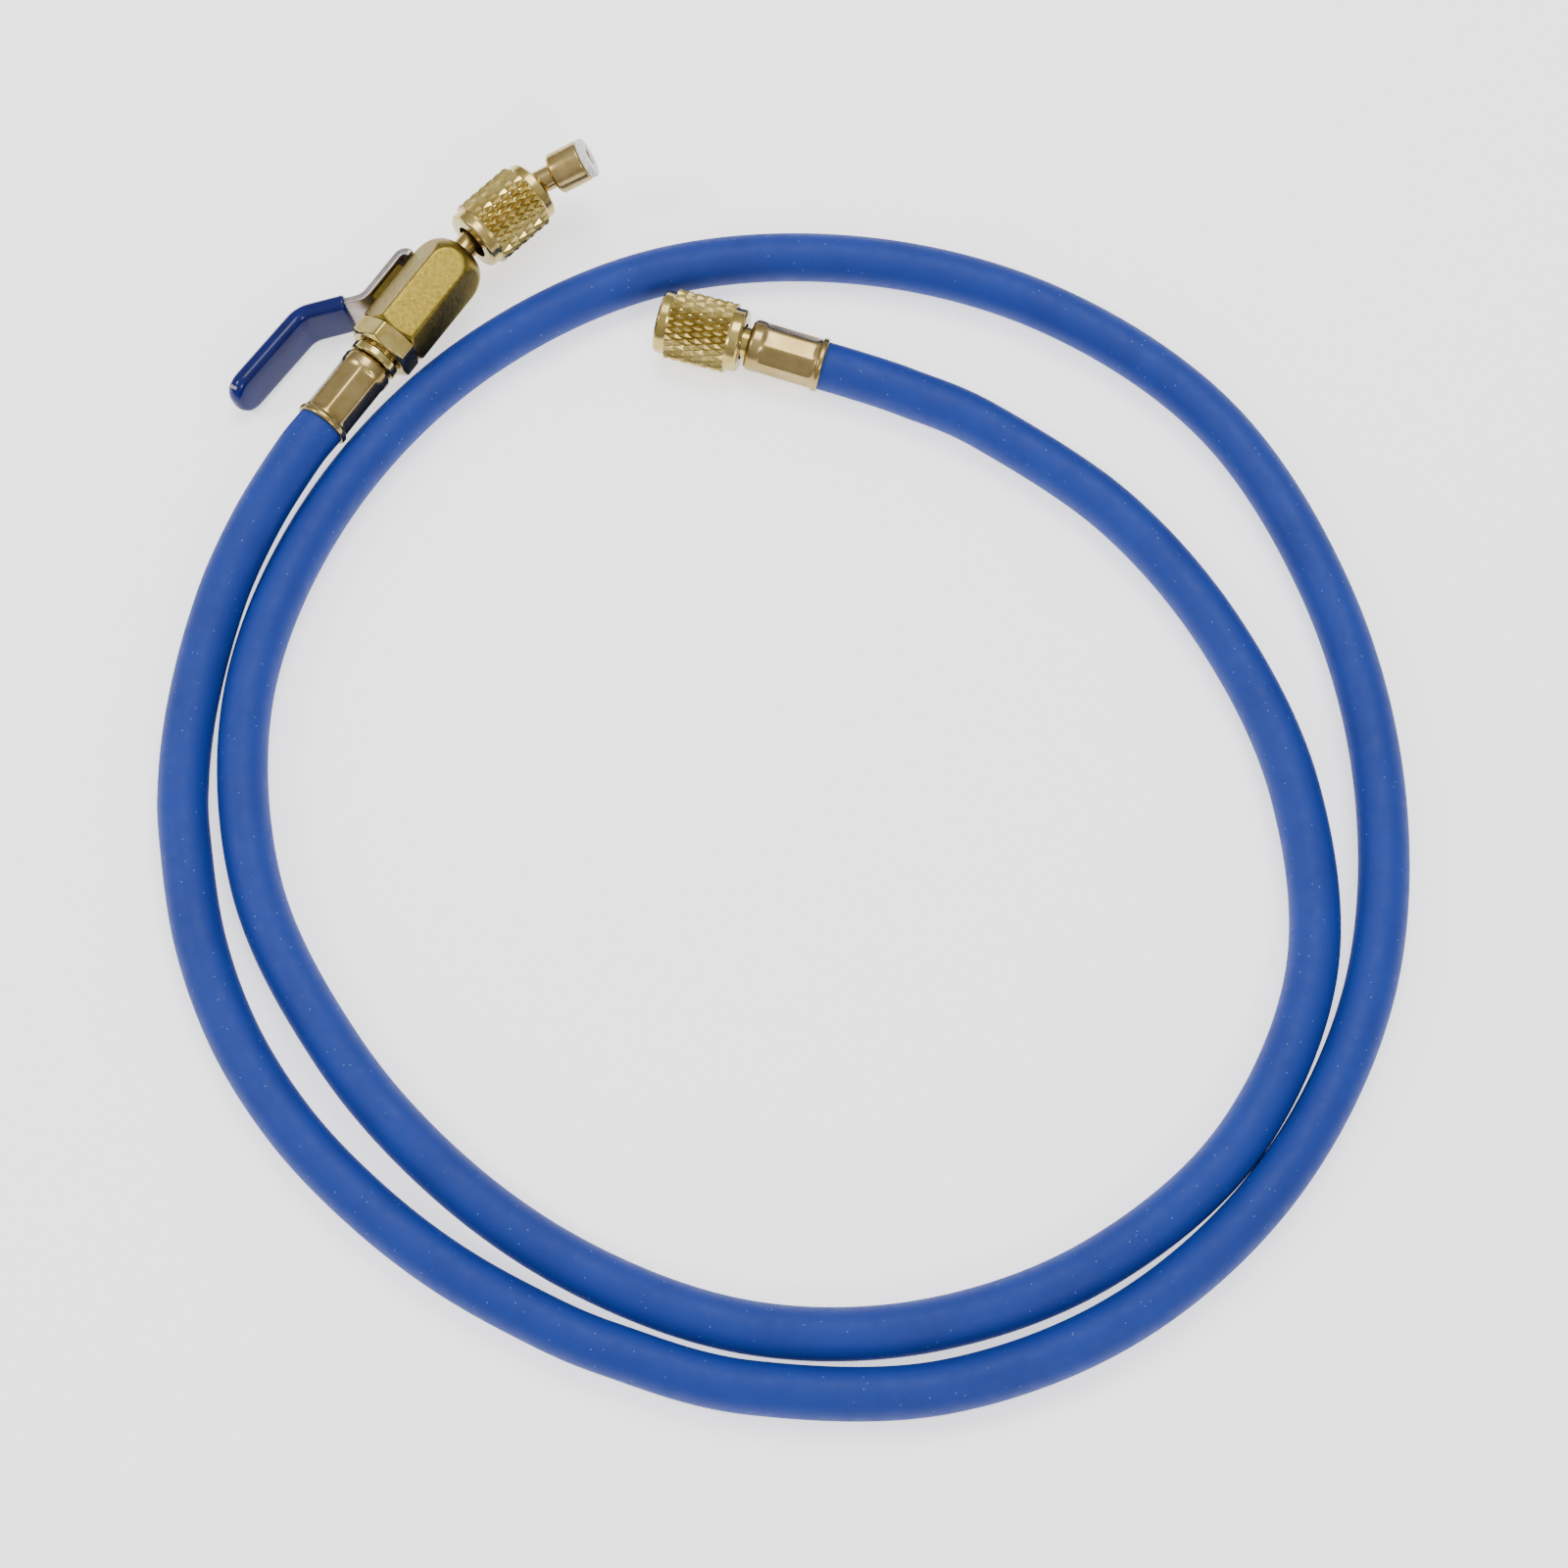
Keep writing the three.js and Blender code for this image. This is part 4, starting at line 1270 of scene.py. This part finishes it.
@dataclass
class Lever(SubAssembly):
    """The plated steel strip on the stem, and the vinyl grip that it was dipped into."""

    finishes: Finishes
    place: EndFrame
    corners: tuple[tuple[float, float], ...] = (
        (7.75, 45.2), (10.05, 45.2), (10.05, 30.6), (20.95, 20.0), (21.95, -3.4),
    )
    radii: tuple[float, ...] = (1.8, 4.0, 6.0)
    thickness: float = 1.8
    width: float = 9.4
    grip_start: float = 0.3
    grip_cover: float = 1.6
    grip_wall: float = 1.1
    grip_side: float = 0.8
    grip_tip_corner: float = 4.9
    grip_corner_share: float = 0.42  # of its thickness
    grip_nose_share: float = 0.45
    grip_thinnest: float = 0.3
    mouth_lip: float = 0.45
    mouth_length: float = 0.6
    strip_corner: float = 0.35
    sheared_edge: float = 0.25

    def line(self, first: int) -> list[Vector]:
        """Returns the strip's corners from the given one on, as points of the valve's frame."""
        return [Vector((x, 0, z)) for x, z in self.corners[first:]]

    def build_strip(self) -> None:
        """Builds the steel strip."""
        path = divided(rounded_line(self.line(0), list(self.radii)), 1.0)
        full = rounded_section(self.width, self.thickness, self.strip_corner)

        def section(run: float, left: float) -> list[tuple[float, float]]:
            """Gives the strip's section, a little smaller at its sheared ends."""
            inset = max(0.0, self.sheared_edge - min(run, left))
            return [(a * (1 - 2 * inset / self.width), b * (1 - inset / self.thickness)) for a, b in full]

        ends = [path[0], path[0].lerp(path[1], 0.3), *path[1:-1], path[-2].lerp(path[-1], 0.8), path[-1]]
        draft = MeshDraft(self.place)
        draft.add_swept(ends, Vector((0, 1, 0)), section)
        strip = draft.finish("lever_strip", 40.0)
        self.dress(strip, self.finishes.steel, Slot.STEEL, Body.LEVER, "lever")

    def build_grip(self) -> None:
        """Builds the dipped sleeve with its thick round tip."""
        bent, tip = self.line(2), self.line(4)[0]
        start = bent[0].lerp(bent[1], self.grip_start)
        end = tip + (tip - bent[1]).normalized() * self.grip_cover
        path = divided(rounded_line([start, bent[1], end], [self.radii[2]], 14), 0.8)
        last = [path[-2].lerp(path[-1], share) for share in (0.2, 0.4, 0.6, 0.75, 0.87, 0.95)]
        first = [path[0].lerp(path[1], share) for share in (0.15, 0.4, 0.7)]
        path = [path[0], *first, *path[1:-1], *last, path[-1]]
        width, thickness = self.width + 2 * self.grip_side, self.thickness + 2 * self.grip_wall

        def section(run: float, left: float) -> list[tuple[float, float]]:
            """Gives the sleeve's section: full, with a soft mouth and a round tip."""
            lip = self.mouth_lip * max(0.0, 1 - run / self.mouth_length) ** 2
            corner, nose = self.grip_tip_corner, thickness * self.grip_nose_share
            side = corner - math.sqrt(max(0.0, corner**2 - max(0.0, corner - left) ** 2))
            flat = nose - math.sqrt(max(0.0, nose**2 - max(0.0, nose - left) ** 2))
            through = max(self.grip_thinnest, thickness - 2 * flat - lip)
            return rounded_section(width - 2 * side - lip, through, thickness * self.grip_corner_share)

        draft = MeshDraft(self.place)
        draft.add_swept(path, Vector((0, 1, 0)), section)
        grip = draft.finish("dipped_grip", 60.0)
        self.dress(grip, self.finishes.vinyl, Slot.VINYL, Body.LEVER, "lever_grip")

    def build(self) -> None:
        """Builds the strip and its grip."""
        self.build_strip()
        self.build_grip()


@dataclass
class Neck(SubAssembly):
    """The bent tube out of the valve's dome, its round head, and the seal with the valve core's blade."""

    finishes: Finishes
    place: EndFrame
    body_end: float
    tube: float = 5.6
    socket: float = 4.0
    bore: float = 3.4
    before_corner: float = 16.2
    after_corner: float = 13.4
    bend_radius: float = 14.0
    bend_angle: float = 40.0
    bend_turn: float = 163.0
    head: float = 9.6
    head_length: float = 7.8
    head_chamfer: float = 0.6
    seal: float = 9.3
    seal_bore: float = 3.9
    seal_proud: float = 1.5
    seal_lip: float = 0.6
    seal_depth: float = 2.0
    blade: tuple[float, float, float] = (2.9, 1.1, 3.0)
    blade_recess: float = 0.1
    blade_edge: float = 0.15
    nut_place: tuple[float, float, float] = (-0.6, 0.2, 3.6)
    nut_lean: float = 10.8
    nut_lean_turn: float = 192.0

    @property
    def head_axis(self) -> Vector:
        """The head's direction, in the valve's frame."""
        return leaning(self.bend_angle, self.bend_turn)

    @property
    def head_frame(self) -> EndFrame:
        """The frame along the head, from the tube's end."""
        corner = Vector((0, 0, self.body_end + self.before_corner))
        return self.place.along(corner + self.head_axis * self.after_corner, self.head_axis)

    def nut_frame(self) -> EndFrame:
        """Returns the frame of the loose nut, which hangs askew on the tube."""
        x, y, z = self.nut_place
        return self.place.along(Vector((x, y, self.body_end + z)), leaning(self.nut_lean, self.nut_lean_turn))

    def build_tube(self) -> None:
        """Builds the bent tube and the head as one piece of brass."""
        start = Vector((0, 0, self.body_end - self.socket))
        corner = Vector((0, 0, self.body_end + self.before_corner))
        end = corner + self.head_axis * (self.after_corner + 1)
        path = divided(rounded_line([start, corner, end], [self.bend_radius], 20), 1.5)
        turn = math.radians(self.bend_turn)
        side = Vector((-math.sin(turn), math.cos(turn), 0))
        circle = [(self.tube / 2 * math.cos(a), self.tube / 2 * math.sin(a)) for a in round_angles(40)]
        draft = MeshDraft(self.place)
        draft.add_swept(path, side, lambda run, left: circle)
        head_outline = eased(
            [
                (0, 0), (0, self.head / 2 - self.head_chamfer), (self.head_chamfer, self.head / 2),
                (self.head_length - 0.4, self.head / 2), (self.head_length, self.head / 2 - 0.4),
                (self.head_length, self.seal / 2 - self.seal_lip),
                (self.head_length - self.seal_depth, self.seal / 2 - self.seal_lip),
                (self.head_length - self.seal_depth, self.bore / 2), (2, self.bore / 2), (2, 0),
            ],
            0.15,
        )
        head = MeshDraft(self.head_frame)
        head.add_turned(head_outline, round_angles(64))
        draft.faces += [[i + draft.count for i in face] for face in head.faces]
        draft.maps += head.maps
        draft.points += head.points
        draft.count += head.count
        tube = draft.finish("bent_tube", 30.0)
        self.dress(tube, self.finishes.drawn, Slot.FERRULE, Body.FITTINGS, "neck_tube")

    def build_seal(self) -> None:
        """Builds the white seal and the blade that pushes the valve core."""
        inner, outer = self.seal / 2 - self.seal_lip - 0.1, self.seal / 2
        low, top = self.head_length - self.seal_depth + 0.1, self.head_length + self.seal_proud
        outline = eased(
            [
                (low, self.seal_bore / 2), (low, inner), (self.head_length + 0.02, inner),
                (self.head_length + 0.02, outer), (top - 0.4, outer), (top, outer - 0.4),
                (top, self.seal_bore / 2), (low, self.seal_bore / 2),
            ],
            0.2,
        )
        seal = self.turned(self.head_frame, outline, round_angles(64), "port_seal", 40.0)
        self.dress(seal, self.finishes.seal, Slot.SEAL, Body.FITTINGS, "head_seal")
        width, thickness, length = self.blade
        high = top - self.blade_recess
        line = [Vector((0, 0, high - length * share)) for share in (1.0, 0.5, 0.1, 0.05, 0.0)]
        shape = rounded_section(width, thickness, self.blade_edge, 3)

        def section(run: float, left: float) -> list[tuple[float, float]]:
            """Gives the blade's section, with a small chamfer at its edge."""
            inset = max(0.0, self.blade_edge - left)
            return [(a * (1 - 2 * inset / width), b * (1 - 2 * inset / thickness)) for a, b in shape]

        blade = MeshDraft(self.head_frame)
        blade.add_swept(line, Vector((1, 0, 0)), section)
        made = blade.finish("core_blade", 35.0)
        self.dress(made, self.finishes.bar, Slot.FERRULE, Body.FITTINGS, "core_depressor")

    def build(self) -> None:
        """Builds the tube, the seal and the blade."""
        self.build_tube()
        self.build_seal()


@dataclass
class StraightEnd(SubAssembly):
    """The nipple and the seal inside the straight end's nut."""

    finishes: Finishes
    place: EndFrame
    collar_start: float = 17.9
    bare: float = 1.0
    wall: float = 3.0
    play: float = 1.0
    nipple: float = 7.0
    head: float = 9.2
    head_length: float = 4.0
    head_chamfer: float = 0.8
    bore: float = 3.4
    barb: float = 5.0
    seat: float = 7.2
    seat_depth: float = 1.0
    seal_thickness: float = 1.8
    seal_bore: float = 3.9
    seal_gap: float = 0.1
    ferrule_gap: float = 0.25
    barb_start: float = 1.0

    @property
    def head_end(self) -> float:
        """The nipple's end, inside the nut."""
        return self.collar_start + self.bare + self.wall + self.play + self.head_length

    def build(self) -> None:
        """Builds the nipple and its seal."""
        start = self.head_end - self.head_length
        outline = eased(
            [
                (self.barb_start, self.bore / 2), (self.barb_start, self.barb / 2),
                (self.collar_start - self.ferrule_gap, self.barb / 2),
                (self.collar_start - self.ferrule_gap, self.nipple / 2), (start, self.nipple / 2),
                (start + self.head_chamfer, self.head / 2), (self.head_end, self.head / 2),
                (self.head_end, self.seat / 2), (self.head_end - self.seat_depth, self.seat / 2),
                (self.head_end - self.seat_depth, self.bore / 2), (self.barb_start, self.bore / 2),
            ],
            0.15,
        )
        nipple = self.turned(self.place, outline, round_angles(48), "flanged_nipple", 30.0)
        self.dress(nipple, self.finishes.machined, Slot.BRASS, Body.FITTINGS, "nipple")
        low = self.head_end - self.seat_depth + self.seal_gap
        outer = self.seat / 2 - self.seal_gap
        ring = eased(
            [
                (low, self.seal_bore / 2), (low, outer), (low + self.seal_thickness, outer),
                (low + self.seal_thickness, self.seal_bore / 2), (low, self.seal_bore / 2),
            ],
            0.25,
        )
        seal = self.turned(self.place, ring, round_angles(48), "nut_ring", 40.0)
        self.dress(seal, self.finishes.seal, Slot.SEAL, Body.FITTINGS, "nut_seal")


@dataclass
class Studio:
    """Floor, light and camera. None of it is part of the hose."""

    floor_size: float = 12.0
    floor_colour: str = "#fbfbfb"
    floor_glow: float = 1.2  # the floor gives off a little light, so that it comes out as pale as paper
    floor_roughness: float = 0.9
    floor_specular: float = 0.1
    world_colour: str = "#ffffff"
    horizon: float = 0.35
    zenith: float = 1.0
    target: tuple[float, float, float] = (0.05749, -0.11524, 0.0055)
    distance: float = 0.714
    elevation: float = 70.0
    lens: float = 75.9
    sensor: float = 36.0
    softboxes: tuple[tuple[str, tuple[float, float, float], float, float], ...] = (
        ("overhead", (0.1, 0.5, 1.1), 0.6, 8.0),
        ("left_side", (-1.0, 0.1, 0.9), 0.3, 6.0),
        ("front_right", (0.5, -0.9, 1.0), 0.3, 5.0),
    )

    def build_camera(self) -> None:
        """Places the camera at the photograph's viewing angle."""
        data = bpy.data.cameras.new("camera")
        data.sensor_width = self.sensor
        data.lens = self.lens
        data.clip_start, data.clip_end = 0.01, 20.0
        camera = put_in_scene("camera", data)
        angle = math.radians(self.elevation)
        back = Vector((0, -math.cos(angle), math.sin(angle)))
        camera.location = Vector(self.target) + back * self.distance
        camera.rotation_mode = "QUATERNION"
        camera.rotation_quaternion = (-back).to_track_quat("-Z", "Y")
        bpy.context.scene.camera = camera

    def add_softbox(self, name: str, place: tuple[float, float, float], size: float, power: float) -> None:
        """Adds a square soft light that faces the coil.

        Args:
            name: its name.
            place: where it is, in metres from the coil's middle.
            size: its side, in metres.
            power: its power, in watts.
        """
        data = bpy.data.lights.new(name, "AREA")
        data.shape = "SQUARE"
        data.size = size
        data.energy = power
        light = put_in_scene(name, data)
        light.location = Vector(self.target) + Vector(place)
        light.rotation_mode = "QUATERNION"
        light.rotation_quaternion = (-Vector(place)).to_track_quat("-Z", "Y")

    def build(self) -> None:
        """Builds the floor and the lights."""
        half = self.floor_size / 2
        mesh = bpy.data.meshes.new("floor")
        corners = [(x * half, y * half, 0) for x, y in ((-1, -1), (1, -1), (1, 1), (-1, 1))]
        mesh.from_pydata(corners, [], [(0, 1, 2, 3)])
        floor = put_in_scene("floor", mesh)
        material = bpy.data.materials.new("Paper_pale_matt")
        material.use_nodes = True
        shader = material.node_tree.nodes["Principled BSDF"]
        shader.inputs["Base Color"].default_value = linear(self.floor_colour)
        shader.inputs["Roughness"].default_value = self.floor_roughness
        shader.inputs["Emission Color"].default_value = linear(self.floor_colour)
        shader.inputs["Emission Strength"].default_value = self.floor_glow
        shader.inputs["Specular IOR Level"].default_value = self.floor_specular
        mesh.materials.append(material)
        world = bpy.data.worlds.new("room")
        bpy.context.scene.world = world
        world.use_nodes = True
        sky = world.node_tree.nodes["Background"]
        sky.inputs["Color"].default_value = linear(self.world_colour)
        tree = world.node_tree
        sight = add_node(tree, "ShaderNodeTexCoord").outputs["Generated"]
        height = add_node(tree, "ShaderNodeSeparateXYZ", {0: sight}).outputs["Z"]
        rise = {"Value": height, "From Max": 0.9, "To Min": self.horizon, "To Max": self.zenith}
        tree.links.new(add_node(tree, "ShaderNodeMapRange", rise).outputs["Result"], sky.inputs["Strength"])
        for softbox in self.softboxes:
            self.add_softbox(*softbox)


def main() -> None:
    """Builds the scene: camera and hose first, then each end from the hose outwards."""
    logging.basicConfig(level=logging.INFO, format="%(name)s: %(message)s")
    studio = Studio()
    studio.build_camera()
    finishes = Finishes()
    valve_frame = EndFrame.laid((-103.3, 82.9, 11.097), 55.4, 0.5, 14.0)
    straight_frame = EndFrame.laid((8.9, 100.4, 6.25), 164.0, 4.921, 0.0)
    straight_nut_frame = EndFrame.laid((-9.194, 105.594, 8.0), 164.2, 0.0, 0.0)
    Hose(finishes, valve_frame, straight_frame).build()
    Ferrule(finishes, valve_frame, 18.4, "ferrule_valve_end").build()
    valve = BallValve(finishes, valve_frame)
    valve.build()
    Lever(finishes, valve_frame).build()
    neck = Neck(finishes, valve_frame, valve.body_end)
    neck.build()
    KnurledNut(finishes, neck.nut_frame(), Body.NECK_NUT, "knurled_nut_valve_end").build()
    Ferrule(finishes, straight_frame, 17.6, "ferrule_straight_end").build()
    StraightEnd(finishes, straight_frame).build()
    KnurledNut(finishes, straight_nut_frame, Body.STRAIGHT_NUT, "knurled_nut_straight_end").build()
    studio.build()


if __name__ == "__main__":
    main()
